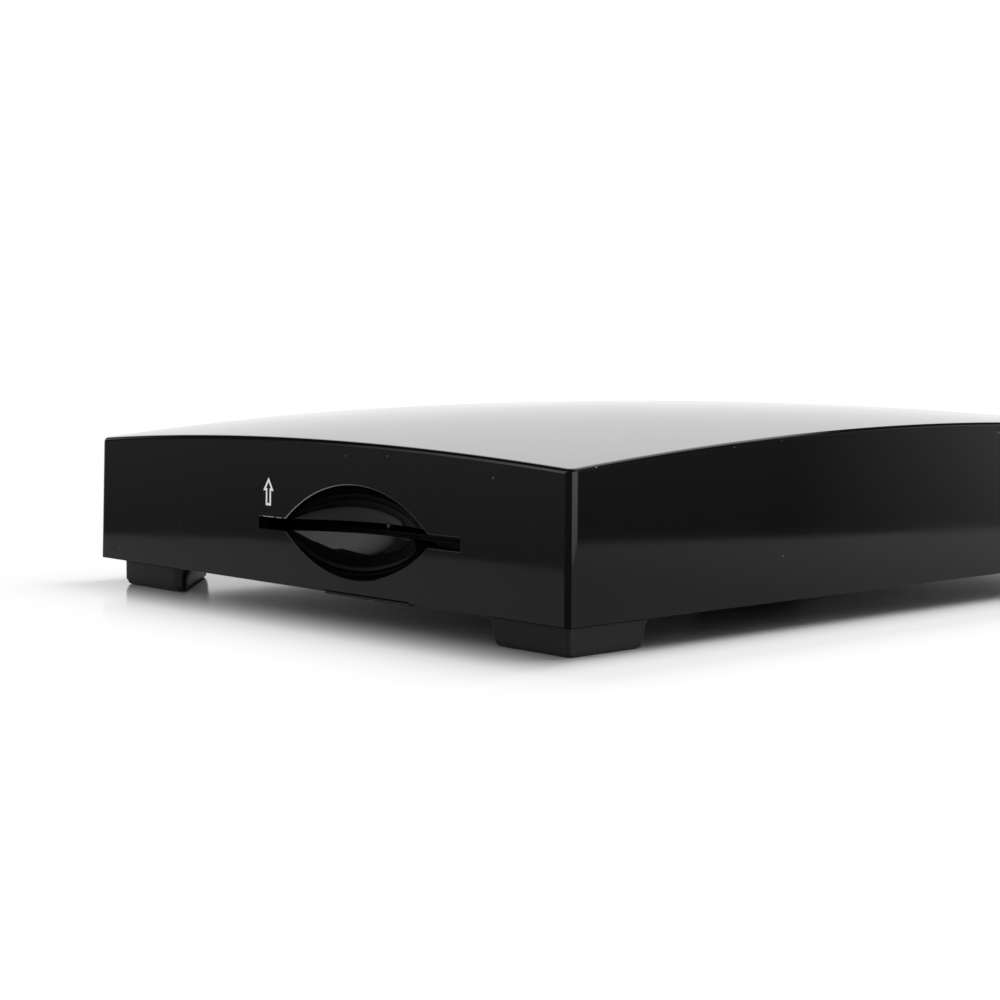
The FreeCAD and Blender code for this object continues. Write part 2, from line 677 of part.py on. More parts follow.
def hdmi_socket():
    """Folded sheet shell, closed at its inner end."""
    outside = Part.Face(hdmi_outline(HDMI_WIDTH, HDMI_HEIGHT, BOARD_TOP, SOCKET_REAR - 11.5)).extrude(BACK * 11.5)
    inside = Part.Face(hdmi_outline(HDMI_WIDTH - 2 * SHEET, HDMI_HEIGHT - 2 * SHEET, BOARD_TOP + SHEET,
                                    SOCKET_REAR - 10.5)).extrude(BACK * 12)
    return outside.cut(inside)


def hdmi_tongue():
    return block(HDMI_X - 6.1, HDMI_X + 6.1, SOCKET_REAR - 10.5, SOCKET_REAR - 1.2, BOARD_TOP + 2.7, BOARD_TOP + 3.9)


def ethernet_socket():
    """Shielded network socket with a stepped mouth for the plug's latch."""
    front = SOCKET_REAR - ETHERNET_DEPTH
    body = block(ETHERNET_X - ETHERNET_WIDTH / 2, ETHERNET_X + ETHERNET_WIDTH / 2, front, SOCKET_REAR,
                 BOARD_TOP, BOARD_TOP + ETHERNET_HEIGHT)
    mouth = block(ETHERNET_X - 5.95, ETHERNET_X + 5.95, front + 5, SOCKET_REAR + 1, BOARD_TOP + 4.2, BOARD_TOP + 11.0)
    latch = block(ETHERNET_X - 3.1, ETHERNET_X + 3.1, front + 8, SOCKET_REAR + 1, BOARD_TOP + 2.6, BOARD_TOP + 5)
    latch_step = block(ETHERNET_X - 1.7, ETHERNET_X + 1.7, front + 8, SOCKET_REAR + 1, BOARD_TOP + 1.4, BOARD_TOP + 5)
    lamps = [block(ETHERNET_X + side * 5.4 - 1.2, ETHERNET_X + side * 5.4 + 1.2, SOCKET_REAR - 0.4, SOCKET_REAR + 1,
                   BOARD_TOP + 1.2, BOARD_TOP + 3.0) for side in (-1, 1)]
    return cut_all(body, [mouth, latch, latch_step] + lamps)


def ethernet_contacts():
    """Eight sprung wires that slant down from the roof of the network socket."""
    wires = []
    pitch = 1.02
    front = SOCKET_REAR - ETHERNET_DEPTH + 5
    for number in range(8):
        x = ETHERNET_X + (number - 3.5) * pitch
        outline = Part.makePolygon([
            vec(x - 0.2, front + 1, BOARD_TOP + 8.9), vec(x - 0.2, front + 1, BOARD_TOP + 9.3),
            vec(x - 0.2, SOCKET_REAR - 3.6, BOARD_TOP + 11.0), vec(x - 0.2, SOCKET_REAR - 3, BOARD_TOP + 11.0),
            vec(x - 0.2, front + 1, BOARD_TOP + 8.9)])
        wires.append(Part.Face(outline).extrude(RIGHT * 0.4))
    return Part.makeCompound(wires)


def usb_socket():
    """Folded sheet shell of the flat data socket."""
    x0 = USB_X - USB_WIDTH / 2
    x1 = USB_X + USB_WIDTH / 2
    top = BOARD_TOP + USB_HEIGHT
    outside = block(x0, x1, SOCKET_REAR - USB_DEPTH, SOCKET_REAR, BOARD_TOP, top)
    inside = block(x0 + SHEET, x1 - SHEET, SOCKET_REAR - USB_DEPTH + 1, SOCKET_REAR + 1, BOARD_TOP + SHEET, top - SHEET)
    return outside.cut(inside)


def usb_tongue():
    return block(USB_X - 5.6, USB_X + 5.6, SOCKET_REAR - 13, SOCKET_REAR - 1, BOARD_TOP + 3.0, BOARD_TOP + 4.9)


def dc_jack():
    """Power inlet: moulded block with a round mouth."""
    z = BOARD_TOP + 6.0
    body = block(DC_X - DC_WIDTH / 2, DC_X + DC_WIDTH / 2, SOCKET_REAR - 14, SOCKET_REAR, BOARD_TOP, BOARD_TOP + DC_HEIGHT)
    return body.cut(rod(DC_HOLE_RADIUS, vec(DC_X, SOCKET_REAR - 10, z), BACK, 12))


def dc_pin():
    return rod(DC_PIN_RADIUS, vec(DC_X, SOCKET_REAR - 10, BOARD_TOP + 6.0), BACK, 9.2)


def data_jack():
    """Small round jack socket: a block on the board with a round nose through the panel."""
    body = block(DATA_X - 3.5, DATA_X + 3.5, PANEL_FRONT - 12, PANEL_FRONT - 0.5, BOARD_TOP, DATA_Z + 3.4)
    nose = rod(DATA_NOSE_RADIUS, vec(DATA_X, PANEL_FRONT - 2, DATA_Z), BACK, SOCKET_REAR - PANEL_FRONT + 2)
    bore = rod(DATA_BORE_RADIUS, vec(DATA_X, SOCKET_REAR - DATA_BORE_DEPTH, DATA_Z), BACK, DATA_BORE_DEPTH + 1)
    return fuse_all([body, nose]).cut(bore)


# Card reader ------------------------------------------------------------------------------------

def card_reader():
    """Reader body with the channel for the card, a flared mouth and a window over the contacts."""
    body = block(READER_LEFT, READER_RIGHT, READER_FRONT, READER_REAR, BOARD_TOP, READER_TOP)
    channel = block(READER_LEFT - 1, READER_RIGHT - 3, SLOT_Y - CARD_WIDTH / 2 - 0.3, SLOT_Y + CARD_WIDTH / 2 + 0.3,
                    SLOT_Z - 0.6, SLOT_Z + 0.6)
    mouth = block(READER_LEFT - 1, READER_LEFT + 1.5, SLOT_Y - SLOT_WIDTH / 2, SLOT_Y + SLOT_WIDTH / 2,
                  SLOT_Z - SLOT_HEIGHT / 2, SLOT_Z + SLOT_HEIGHT / 2)
    window = block(READER_LEFT + 14, READER_RIGHT - 10, SLOT_Y - 9, SLOT_Y + 9, SLOT_Z - 0.6, READER_TOP + 1)
    relief = [block(READER_LEFT + 6, READER_RIGHT - 8, SLOT_Y + side * 20 - 5, SLOT_Y + side * 20 + 5,
                    SLOT_Z + 1.1, READER_TOP + 1) for side in (-1, 1)]
    return cut_all(body, [channel, mouth, window] + relief)


def card_contacts():
    """Eight sprung contacts in two rows: flat strips with their tips bent down to the card."""
    contacts = []
    for row in (0, 1):
        for number in range(4):
            x = READER_LEFT + 24 + 7.62 * row
            y = SLOT_Y + (number - 1.5) * 2.54 - 0.45
            high = SLOT_Z + 1.25
            points = [(x + 5, high), (x + 5, high - 0.25), (x + 1, high - 0.25), (x + 0.5, SLOT_Z + 0.6), (x, high)]
            outline = Part.makePolygon([vec(a, y, z) for a, z in points + points[:1]])
            contacts.append(Part.Face(outline).extrude(BACK * 0.9))
    return Part.makeCompound(contacts)


def contact_carrier():
    """Bar across the reader's window that holds the contacts."""
    x = READER_LEFT + 24
    carrier = block(x - 1.5, x + 14, SLOT_Y - 8.9, SLOT_Y + 8.9, SLOT_Z + 1.3, READER_TOP)
    return carrier


# Boards and what they carry ---------------------------------------------------------------------

def main_board():
    plate = block(BOARD_LEFT, BOARD_RIGHT, BOARD_FRONT, BOARD_REAR, BOARD_BOTTOM, BOARD_TOP)
    holes = [many_sided_bar(SCREW_SHANK + 0.3, vec(x, y, BOARD_BOTTOM - 1), UP, 4) for x, y in BOARD_SCREWS]
    reach = WELL_SIDE / 2 + 1
    for x in (SCREW_X, WIDTH - SCREW_X):
        edge = BOARD_LEFT - 1 if x < WIDTH / 2 else BOARD_RIGHT + 1
        holes.append(block(min(x - reach, edge), max(x + reach, edge), SCREW_REAR_Y - reach, SCREW_REAR_Y + reach,
                           BOARD_BOTTOM - 1, BOARD_TOP + 1))
    return cut_all(plate, holes)


def chip(x, y, width, depth, height):
    """Flat moulded package on the main board, top edges chamfered."""
    package = block(x - width / 2, x + width / 2, y - depth / 2, y + depth / 2, BOARD_TOP, BOARD_TOP + height)
    top = [edge for edge in package.Edges if edge.BoundBox.ZMin > BOARD_TOP + height - 0.01]
    return package.makeChamfer(0.2, top)


def main_chip():
    return chip(CHIP_X, CHIP_Y, CHIP_SIDE, CHIP_SIDE, CHIP_HEIGHT)


def heatsink():
    """Extruded aluminium sink: a base with upright fins."""
    z = BOARD_TOP + CHIP_HEIGHT
    x0 = CHIP_X - SINK_SIDE / 2
    y0 = CHIP_Y - SINK_SIDE / 2
    parts = [block(x0, x0 + SINK_SIDE, y0, y0 + SINK_SIDE, z, z + 2)]
    fins = 9
    thickness = 1.0
    pitch = (SINK_SIDE - thickness) / (fins - 1)
    for number in range(fins):
        x = x0 + number * pitch
        parts.append(block(x, x + thickness, y0, y0 + SINK_SIDE, z, z + SINK_HEIGHT))
    return fuse_all(parts)


def memory_chips():
    return Part.makeCompound([chip(130, y, 13.0, 9.0, 1.2) for y in (64.0, 79.0)])


def flash_chip():
    return chip(84.0, 47.0, 8.0, 6.0, 1.6)


def crystal():
    """Clock crystal in its oval can."""
    x = 130.0
    y = 92.0
    half = 3.4
    radius = 2.1
    height = 3.4
    middle = block(x - half, x + half, y - radius, y + radius, BOARD_TOP, BOARD_TOP + height)
    ends = [rod(radius, vec(x + side * half, y, BOARD_TOP), UP, height) for side in (-1, 1)]
    return fuse_all([middle] + ends)


def capacitors():
    """Electrolytic cans of the power supply, large and small."""
    cans = []
    for places, (radius, height) in ((LARGE_CAPACITOR_PLACES, LARGE_CAPACITOR),
                                     (SMALL_CAPACITOR_PLACES, SMALL_CAPACITOR)):
        cans += [many_sided_bar(radius, vec(x, y, BOARD_TOP), UP, height, MORE_SIDES) for x, y in places]
    return Part.makeCompound(cans)


def power_inductors():
    """Three shielded coils of the power supply."""
    coils = []
    for x in (152.0, 163.0, 174.0):
        shield = block(x - 3.5, x + 3.5, 62.0, 69.0, BOARD_TOP, BOARD_TOP + 4)
        coils.append(shield.makeChamfer(1.0, upright_edges(shield, 3)))
    return Part.makeCompound(coils)


def display_board():
    plate = block(DISPLAY_BOARD_LEFT, DISPLAY_BOARD_RIGHT, DISPLAY_BOARD_FRONT,
                  DISPLAY_BOARD_FRONT + BOARD_THICKNESS, DISPLAY_BOARD_BOTTOM, DISPLAY_BOARD_TOP)
    holes = [square_bar(STAKE_SIDE + 0.2, x, DISPLAY_BOARD_FRONT - 1, z, BACK, 4) for x, z in DISPLAY_POSTS]
    return cut_all(plate, holes)


def led_display():
    """Four-digit display block behind the window."""
    middle = (WINDOW_BOTTOM + WINDOW_TOP) / 2
    body = block(DIGITS_LEFT, DIGITS_RIGHT, WALL + 1.4, DISPLAY_BOARD_FRONT, middle - 5, middle + 5)
    edges = [edge for edge in body.Edges if edge.BoundBox.YMax < WALL + 1.5]
    return body.makeChamfer(0.4, edges)


def infrared_sensor():
    """Remote-control receiver: a block with a round lens."""
    z = (WINDOW_BOTTOM + WINDOW_TOP) / 2
    body = block(151.2, 156.2, 6.4, DISPLAY_BOARD_FRONT, z - 3.2, z + 3.2)
    return fuse_all([body, rod(2.2, vec(153.7, 4.6, z), BACK, 2)])


def standby_led():
    """Small lamp beside the digits."""
    front = 5.2
    z = (WINDOW_BOTTOM + WINDOW_TOP) / 2
    return many_sided_bar(1.5, vec(121.6, front, z), BACK, DISPLAY_BOARD_FRONT - front)


def tact_switches():
    """Three switch bodies on the display board, each with a well for its plunger."""
    half = SWITCH_SIDE / 2
    front = DISPLAY_BOARD_FRONT - SWITCH_BODY
    switches = []
    for x in BUTTON_X:
        body = block(x - half, x + half, front, DISPLAY_BOARD_FRONT, BUTTON_Z - half, BUTTON_Z + half)
        well = square_bar(PLUNGER_SIDE + 0.1, x, front - 1, BUTTON_Z, BACK, 1 + PLUNGER_IN + BUTTON_TRAVEL + 0.2)
        switches.append(body.cut(well))
    return Part.makeCompound(switches)


def plunger(x):
    """Square plunger of one switch, which its button pushes back."""
    front = DISPLAY_BOARD_FRONT - SWITCH_BODY - PLUNGER_OUT
    return square_bar(PLUNGER_SIDE, x, front, BUTTON_Z, BACK, PLUNGER_OUT + PLUNGER_IN)


def button(x):
    """Push button: a round-ended cap, a flange behind the wall and a stem to the plunger."""
    wall_face = (BUTTON_Z - FOOT_HEIGHT) * LEAN
    flange_front = wall_face + WALL + 0.15
    cap = stadium(BUTTON_WIDTH, BUTTON_HEIGHT, vec(x, wall_face - BUTTON_PROUD, BUTTON_Z), BACK,
                  flange_front - wall_face + BUTTON_PROUD)
    half_width = BUTTON_WIDTH / 2 + BUTTON_LIP
    half_height = BUTTON_HEIGHT / 2 + BUTTON_LIP
    flange = block(x - half_width, x + half_width, flange_front, flange_front + 0.9,
                   BUTTON_Z - half_height, BUTTON_Z + half_height)
    plunger_front = DISPLAY_BOARD_FRONT - SWITCH_BODY - PLUNGER_OUT
    stem = square_bar(PLUNGER_SIDE - 0.4, x, flange_front, BUTTON_Z, BACK, plunger_front - flange_front)
    return fuse_all([cap, flange, stem])


def display_header():
    """Ribbon connector on the back of the display board."""
    back = DISPLAY_BOARD_FRONT + BOARD_THICKNESS
    body = block(HEADER_X - HEADER_WIDTH / 2, HEADER_X + HEADER_WIDTH / 2, back, back + 3.0, HEADER_Z - 2, HEADER_Z + 2)
    mouth = block(HEADER_X - RIBBON_WIDTH / 2 - 0.2, HEADER_X + RIBBON_WIDTH / 2 + 0.2, back + 0.8, back + 1.6,
                  HEADER_Z - 0.6, HEADER_Z + 3)
    return body.cut(mouth)


def main_header():
    """Ribbon connector on the main board, its mouth upwards."""
    body = block(HEADER_X - HEADER_WIDTH / 2, HEADER_X + HEADER_WIDTH / 2, MAIN_HEADER_Y - 2, MAIN_HEADER_Y + 2,
                 BOARD_TOP, BOARD_TOP + 4)
    mouth = block(HEADER_X - RIBBON_WIDTH / 2 - 0.2, HEADER_X + RIBBON_WIDTH / 2 + 0.2, MAIN_HEADER_Y - 0.4,
                  MAIN_HEADER_Y + 0.4, BOARD_TOP + 1, BOARD_TOP + 5)
    return body.cut(mouth)


def ribbon_side(bend, hump_y):
    """One side of the ribbon: up, over the hump in short straight bends, and down."""
    turns = [math.pi * (1 - step / RIBBON_BENDS) for step in range(RIBBON_BENDS + 1)]
    return [vec(0, hump_y + bend * math.cos(turn), HEADER_Z + 3 + bend * math.sin(turn)) for turn in turns]


def ribbon_cable():
    """Flat ribbon: straight out of one header, up over a hump and down into the other."""
    start_y = DISPLAY_BOARD_FRONT + BOARD_THICKNESS + 1.2
    bend = (MAIN_HEADER_Y - start_y) / 2
    half = RIBBON_THICKNESS / 2
    inner = ribbon_side(bend - half, start_y + bend)
    outer = ribbon_side(bend + half, start_y + bend)
    foot = BOARD_TOP + 1.2
    low = HEADER_Z - half
    corners = inner + [vec(0, inner[-1].y, foot), vec(0, outer[-1].y, foot)] + outer[::-1]
    corners += [vec(0, outer[0].y, low), vec(0, inner[0].y, low), inner[0]]
    strip = Part.Face(Part.makePolygon(corners)).extrude(RIGHT * RIBBON_WIDTH)
    strip.translate(RIGHT * (HEADER_X - RIBBON_WIDTH / 2))
    return strip


# Fasteners --------------------------------------------------------------------------------------

def screw(seat, direction, shank, head, head_height, length):
    """Pan-head screw: its head stands on seat, its shank runs along direction."""
    return fuse_all([many_sided_bar(head, seat - direction * head_height, direction, head_height),
                     many_sided_bar(shank, seat, direction, length)])


def case_screws():
    seat = TRAY_BOTTOM + HEAD_DEPTH
    return Part.makeCompound([screw(vec(x, y, seat), UP, SCREW_SHANK - 0.02, SCREW_HEAD, 2.0, 12.0)
                              for x, y in screw_places()])


def board_screws():
    return Part.makeCompound([screw(vec(x, y, BOARD_TOP), UP * -1, SCREW_SHANK - 0.02, SCREW_HEAD, 1.8, 6.0)
                              for x, y in BOARD_SCREWS])


def place(shape):
    """Move a part so that the origin is midway under the whole, buttons and rear sockets included."""
    front_reach = BUTTON_PROUD - (BUTTON_Z - FOOT_HEIGHT) * LEAN
    moved = shape.copy()
    moved.translate(vec(-WIDTH / 2, -(DEPTH + REAR_REACH - front_reach) / 2, 0))
    return moved


def all_parts():
    """Every part by name."""
    names = {
        "cover": cover(),
        "display_window": display_window(),
        "base_tray": base_tray(),
        "feet": feet(),
        "rear_panel": rear_panel(),
        "main_board": main_board(),
        "card_reader": card_reader(),
        "contact_carrier": contact_carrier(),
        "card_contacts": card_contacts(),
        "tuner_can": tuner_can(),
        "tuner_lid": tuner_lid(),
        "lnb_in_connector": aerial_connector(LNB_IN_X),
        "lnb_out_connector": aerial_connector(LNB_OUT_X),
        "connector_insulators": connector_insulators(),
        "connector_nuts": connector_nuts(),
        "av_socket_block": av_socket_block(),
        "av_socket_shells": av_socket_shells(),
        "video_insert": av_insert(AV_X[0]),
        "audio_left_insert": av_insert(AV_X[1]),
        "audio_right_insert": av_insert(AV_X[2]),
        "hdmi_socket": hdmi_socket(),
        "hdmi_tongue": hdmi_tongue(),
        "ethernet_socket": ethernet_socket(),
        "ethernet_contacts": ethernet_contacts(),
        "usb_socket": usb_socket(),
        "usb_tongue": usb_tongue(),
        "dc_jack": dc_jack(),
        "dc_pin": dc_pin(),
        "data_jack": data_jack(),
        "main_chip": main_chip(),
        "heatsink": heatsink(),
        "memory_chips": memory_chips(),
        "flash_chip": flash_chip(),
        "crystal": crystal(),
        "capacitors": capacitors(),
        "power_inductors": power_inductors(),
        "display_board": display_board(),
        "led_display": led_display(),
        "infrared_sensor": infrared_sensor(),
        "standby_led": standby_led(),
        "tact_switches": tact_switches(),
        "display_header": display_header(),
        "main_header": main_header(),
        "ribbon_cable": ribbon_cable(),
        "case_screws": case_screws(),
        "board_screws": board_screws(),
    }
    for name, x in zip(("power", "channel_down", "channel_up"), BUTTON_X):
        names[name + "_button"] = button(x)
        names[name + "_plunger"] = plunger(x)
    return names


def main():
    os.makedirs("parts", exist_ok=True)
    for name, shape in all_parts().items():
        placed = place(shape)
        placed.exportStep("parts/" + name + ".step")
        print(name, len(placed.Solids), placed.isValid(), round(placed.Volume, 1))


main()
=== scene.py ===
import json
import math

import bmesh
import bpy
from mathutils import Matrix, Vector

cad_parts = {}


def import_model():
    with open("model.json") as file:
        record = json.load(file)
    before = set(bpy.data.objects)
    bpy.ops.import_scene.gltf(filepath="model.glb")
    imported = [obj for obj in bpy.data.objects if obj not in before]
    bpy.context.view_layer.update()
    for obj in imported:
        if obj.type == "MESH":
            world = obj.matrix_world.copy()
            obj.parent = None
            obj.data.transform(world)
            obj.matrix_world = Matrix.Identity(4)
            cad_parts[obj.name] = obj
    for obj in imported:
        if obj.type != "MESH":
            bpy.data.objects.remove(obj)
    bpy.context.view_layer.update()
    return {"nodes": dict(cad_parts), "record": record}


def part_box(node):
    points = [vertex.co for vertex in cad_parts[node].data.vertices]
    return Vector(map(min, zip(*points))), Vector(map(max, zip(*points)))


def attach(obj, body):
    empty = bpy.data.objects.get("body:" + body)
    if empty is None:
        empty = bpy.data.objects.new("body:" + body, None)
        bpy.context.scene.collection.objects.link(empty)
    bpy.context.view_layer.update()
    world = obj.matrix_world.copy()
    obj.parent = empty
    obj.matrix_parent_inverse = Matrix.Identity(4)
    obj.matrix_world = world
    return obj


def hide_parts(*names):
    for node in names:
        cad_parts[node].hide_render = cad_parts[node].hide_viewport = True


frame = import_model()

bl_info = {
    "name": "Satellite receiver finish",
    "version": (1, 0, 0),
    "blender": (4, 5, 0),
    "location": "View3D > Sidebar > Receiver",
    "description": "Gives the satellite receiver its cover, feet, prints and finishes",
    "category": "Object",
}

MM = 0.001
RIGHT_ANGLE = math.pi / 2
ON_LINE = 1e-7  # a point this near to a line counts as on it
OVERCUT = 1 * MM  # how far a cutting body reaches past what it cuts
HOUSING = "housing"
BUTTONS = ["power_button", "channel_down_button", "channel_up_button"]

# Cover: its box, the lean of its walls, the rise of its roof's two arches, and its thickness
COVER_LOW, COVER_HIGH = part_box("cover")
MIDDLE = (COVER_LOW + COVER_HIGH) / 2
HALF = (COVER_HIGH - COVER_LOW) / 2
LEAN = math.tan(math.radians(1.06))
FRONT_RISE = 5.0 * MM
SIDE_RISE = 2.35 * MM
WALL = 2.0 * MM
LEFT_FACING = -0.9995  # a face whose normal's x is below this is in the left wall
CAVITY_CORNER = 0.4 * MM
CAVITY_EDGE = 0.05 * MM

# Card slot and finger scoop in the left wall, with the columns and rows of their mesh
SLOT_Y = COVER_LOW.y + 53.85 * MM
SLOT_Z = COVER_LOW.z + 10.9 * MM
SLOT_LENGTH = 55.98 * MM
SLOT_HALF_HEIGHT = 1.05 * MM
SLOT_DEPTH = 12.15 * MM
SCOOP_OUTLINE_RADIUS = 31.2 * MM
SCOOP_DEPTH = 8.15 * MM
SCOOP_WALL = 1.2 * MM
SCOOP_STATIONS = 160
SCOOP_ROWS = 16
RIM_BAND = 0.06 * MM
RIM_ROWS = 4

# What stands inside the cover: screw bosses, roof ribs, and posts staked to the display board
BOSS_RADIUS = 3.5 * MM
BOSS_BOTTOM = 9.9 * MM
RIB_PLACES = (-42 * MM, 0, 42 * MM)
RIB_HALF_WIDTH = 0.6 * MM
RIB_DEPTH = 2.4 * MM
RIB_FRONT_GAP = 22 * MM
RIB_REAR_GAP = 12 * MM
POST_SIDE = 4.0 * MM
PIN_SIDE = 2.0 * MM
STAKE_SIDE = 3.2 * MM
STAKE_THICKNESS = 0.8 * MM
LOW_POST = (4.5 * MM, 13.5 * MM)  # right of and above the display board's low corner
HIGH_POST = (2.4 * MM, 2.4 * MM)  # left of and below its high corner

# Openings of the cover: window, buttons, a notch in each side wall, screw holes and open rear
WINDOW_LIP = 1.2 * MM
WINDOW_ROUND = 1.5 * MM
BUTTON_LIP = 0.75 * MM
BUTTON_PLAY = 0.2 * MM
BUTTON_FLAT = 0.5e-6  # left between a button hole's two round ends, so that they don't meet
NOTCH_START = 38.6 * MM
NOTCH_END = 62.3 * MM
NOTCH_HEIGHT = 0.3 * MM
SCREW_HOLE_RADIUS = 1.3 * MM
SCREW_HOLE_TOP = 22.6 * MM
REAR_FRAME = 9 * MM
REAR_LINTEL = 1.6 * MM

# Feet: a leg along the front or rear, a leg along the side with the round of its tip, and how
# many times its reach the flare is high
FRONT_FOOT = {"front_leg": 17.2 * MM, "side_leg": 18.4 * MM, "side_round": 0.8 * MM,
              "flare_rise": 1.25}
REAR_FOOT = {"front_leg": 20.2 * MM, "side_leg": 21.5 * MM, "side_round": 3.6 * MM,
             "flare_rise": 2.2}
FOOT_TIP_ROUND = 0.8 * MM
FOOT_CORNER_ROUND = 1.0 * MM
FOOT_TAPER = 0.25 * MM
FOOT_STEPS = 5
FOOT_SLANT_BAND = 2.0 * MM
FOOT_LONG_SIDE = 5 * MM  # sides longer than this are divided
FOOT_HEAD_GAP = 0.35 * MM
TRAY_INSET = 2.05 * MM

# Arrow: the foot of its stem, its stem and head, and the film of ink
ARROW_Y = COVER_LOW.y + 78.95 * MM
ARROW_Z = COVER_LOW.z + 14.1 * MM
ARROW_HALF_STEM = 0.8 * MM
ARROW_HEAD = 2.44 * MM
INK_THICKNESS = 0.015 * MM
INK_SUNK = 0.005 * MM

# Pin with a ball end over the card slot
BALL_RADIUS = 0.6 * MM
BALL_NECK = 0.5 * MM
BALL_FOOT = (COVER_LOW.x + 8.6 * MM, COVER_LOW.y + 54.2 * MM, SLOT_Z + SLOT_HALF_HEIGHT + 0.1 * MM)

# Aerial sockets: hexagon seat, plain root, threaded barrel and bore, along their axis
SEAT_ACROSS_FLATS = 11 * MM
SEAT_THICKNESS = 1.4 * MM
SEAT_ROUND = 0.12 * MM
ROOT_START = 0.2 * MM
ROOT_END = 5.7 * MM
ROOT_RADIUS = 5.0 * MM
CREST_RADIUS = 4.7 * MM
CREST_TOLERANCE = 0.01 * MM
CREST_TAPER = 0.35 * MM
BORE_RADIUS = 3.52 * MM
BORE_DEPTH = 6.6 * MM
THREAD_START = ROOT_END + 0.3 * MM
THREAD_END_GAP = 0.4 * MM
THREAD_ROWS = 84
RUN_IN = 0.8 * MM
RUN_OUT = 0.3 * MM

# Case screws: the head's distances with their radii, in millimetres, the shank and the recess
HEAD_PROFILE = [(0, 0), (0, 1.5), (0.2, 2.1), (0.6, 2.5), (1.1, 2.7), (1.8, 2.7), (2.0, 2.6)]
HEAD_RADIUS = 2.7 * MM
SHANK_RADIUS = 1.28 * MM
SHANK_TOP = 2.0 * MM
POINT_LENGTH = 1.5 * MM
POINT_RADIUS = 0.3 * MM
CROSS_REACH = 1.5 * MM
CROSS_HALF_WIDTH = 0.32 * MM
CROSS_DEPTH = 1.2 * MM


def linear(colour):
    """Linear colour, with alpha, of an sRGB hex value."""
    channels = [int(colour[place:place + 2], 16) / 255 for place in (0, 2, 4)]
    return tuple(c / 12.92 if c <= 0.04045 else ((c + 0.055) / 1.055) ** 2.4
                 for c in channels) + (1.0,)


# Settings -----------------------------------------------------------------------------------

class CoverSettings(bpy.types.PropertyGroup):
    """Edges and colour of the cover."""
    corner_round: bpy.props.FloatProperty(
        name="Corner radius", description="Radius of the four upright corners",
        default=1.5 * MM, unit="LENGTH")
    edge_round: bpy.props.FloatProperty(
        name="Roof edge radius", description="Radius where the walls meet the roof",
        default=0.8 * MM, unit="LENGTH")
    rim_round: bpy.props.FloatProperty(
        name="Scoop rim radius", description="Radius of the rim round the finger scoop",
        default=0.22 * MM, unit="LENGTH")
    gloss_black: bpy.props.FloatVectorProperty(
        name="Gloss black", description="Colour of the polished mouldings",
        default=linear("0a0a0b")[:3], subtype="COLOR")


class FootSettings(bpy.types.PropertyGroup):
    """Edges and colour of the corner feet."""
    sole_round: bpy.props.FloatProperty(
        name="Sole radius", description="Radius round the sole of a foot",
        default=0.8 * MM, unit="LENGTH")
    flare: bpy.props.FloatProperty(
        name="Flare", description="How far the head of a foot spreads under the cover",
        default=1.6 * MM, unit="LENGTH")
    satin_black: bpy.props.FloatVectorProperty(
        name="Satin black", description="Colour of the tray and its feet",
        default=linear("0f0f10")[:3], subtype="COLOR")


class PrintSettings(bpy.types.PropertyGroup):
    """Printed arrow over the card slot."""
    height: bpy.props.FloatProperty(
        name="Arrow height", description="Height of the arrow", default=5.14 * MM, unit="LENGTH")
    width: bpy.props.FloatProperty(
        name="Arrow width", description="Width of the arrow's head", default=3.15 * MM,
        unit="LENGTH")
    stroke: bpy.props.FloatProperty(
        name="Stroke", description="Width of the printed line", default=0.45 * MM, unit="LENGTH")
    ink: bpy.props.FloatVectorProperty(
        name="Ink", description="Colour of the print", default=linear("f6f6f4")[:3],
        subtype="COLOR")


class ThreadSettings(bpy.types.PropertyGroup):
    """Threads of the aerial sockets."""
    pitch: bpy.props.FloatProperty(
        name="Pitch", description="Rise of the thread in one turn, 32 to the inch",
        default=25.4 / 32 * MM, unit="LENGTH")
    depth: bpy.props.FloatProperty(
        name="Depth", description="Depth of the thread", default=0.45 * MM, unit="LENGTH")


class StageSettings(bpy.types.PropertyGroup):
    """Where the receiver is seen from, and how it is lit."""
    turn: bpy.props.FloatProperty(
        name="Turn", description="Heading of the view, from the rear towards the right",
        default=math.radians(42.451), subtype="ANGLE")
    fall: bpy.props.FloatProperty(
        name="Fall", description="How far the view looks down", default=math.radians(4.379),
        subtype="ANGLE")
    roll: bpy.props.FloatProperty(
        name="Roll", description="Roll of the view", default=math.radians(0.268), subtype="ANGLE")
    place: bpy.props.FloatVectorProperty(
        name="Place", description="Where the camera stands", default=(-0.3076, -0.28691, 0.04774),
        subtype="TRANSLATION", unit="LENGTH")
    lens: bpy.props.FloatProperty(
        name="Lens", description="Focal length in millimetres", default=70.994)
    paper: bpy.props.FloatVectorProperty(
        name="Paper", description="Colour of the floor", default=linear("efefef")[:3],
        subtype="COLOR")
    key_light: bpy.props.FloatProperty(
        name="Key light", description="Radiance of the softbox above the right end", default=3.9)
    back_wall: bpy.props.FloatProperty(
        name="Back wall", description="Tone that gloss shows of the walls above the horizon",
        default=1.6)
    room_light: bpy.props.FloatProperty(
        name="Room light", description="Light that comes from all round", default=0.44)


class ReceiverSettings(bpy.types.PropertyGroup):
    """All settings of the receiver."""
    cover: bpy.props.PointerProperty(
        type=CoverSettings, name="Cover", description="Edges and colour of the cover")
    feet: bpy.props.PointerProperty(
        type=FootSettings, name="Feet", description="Edges and colour of the feet")
    arrow: bpy.props.PointerProperty(
        type=PrintSettings, name="Arrow", description="Printed arrow over the card slot")
    thread: bpy.props.PointerProperty(
        type=ThreadSettings, name="Thread", description="Threads of the aerial sockets")
    stage: bpy.props.PointerProperty(
        type=StageSettings, name="Stage", description="View and light")


# Shared steps -------------------------------------------------------------------------------

def settings():
    """Settings of the receiver in this scene."""
    return bpy.context.scene.receiver


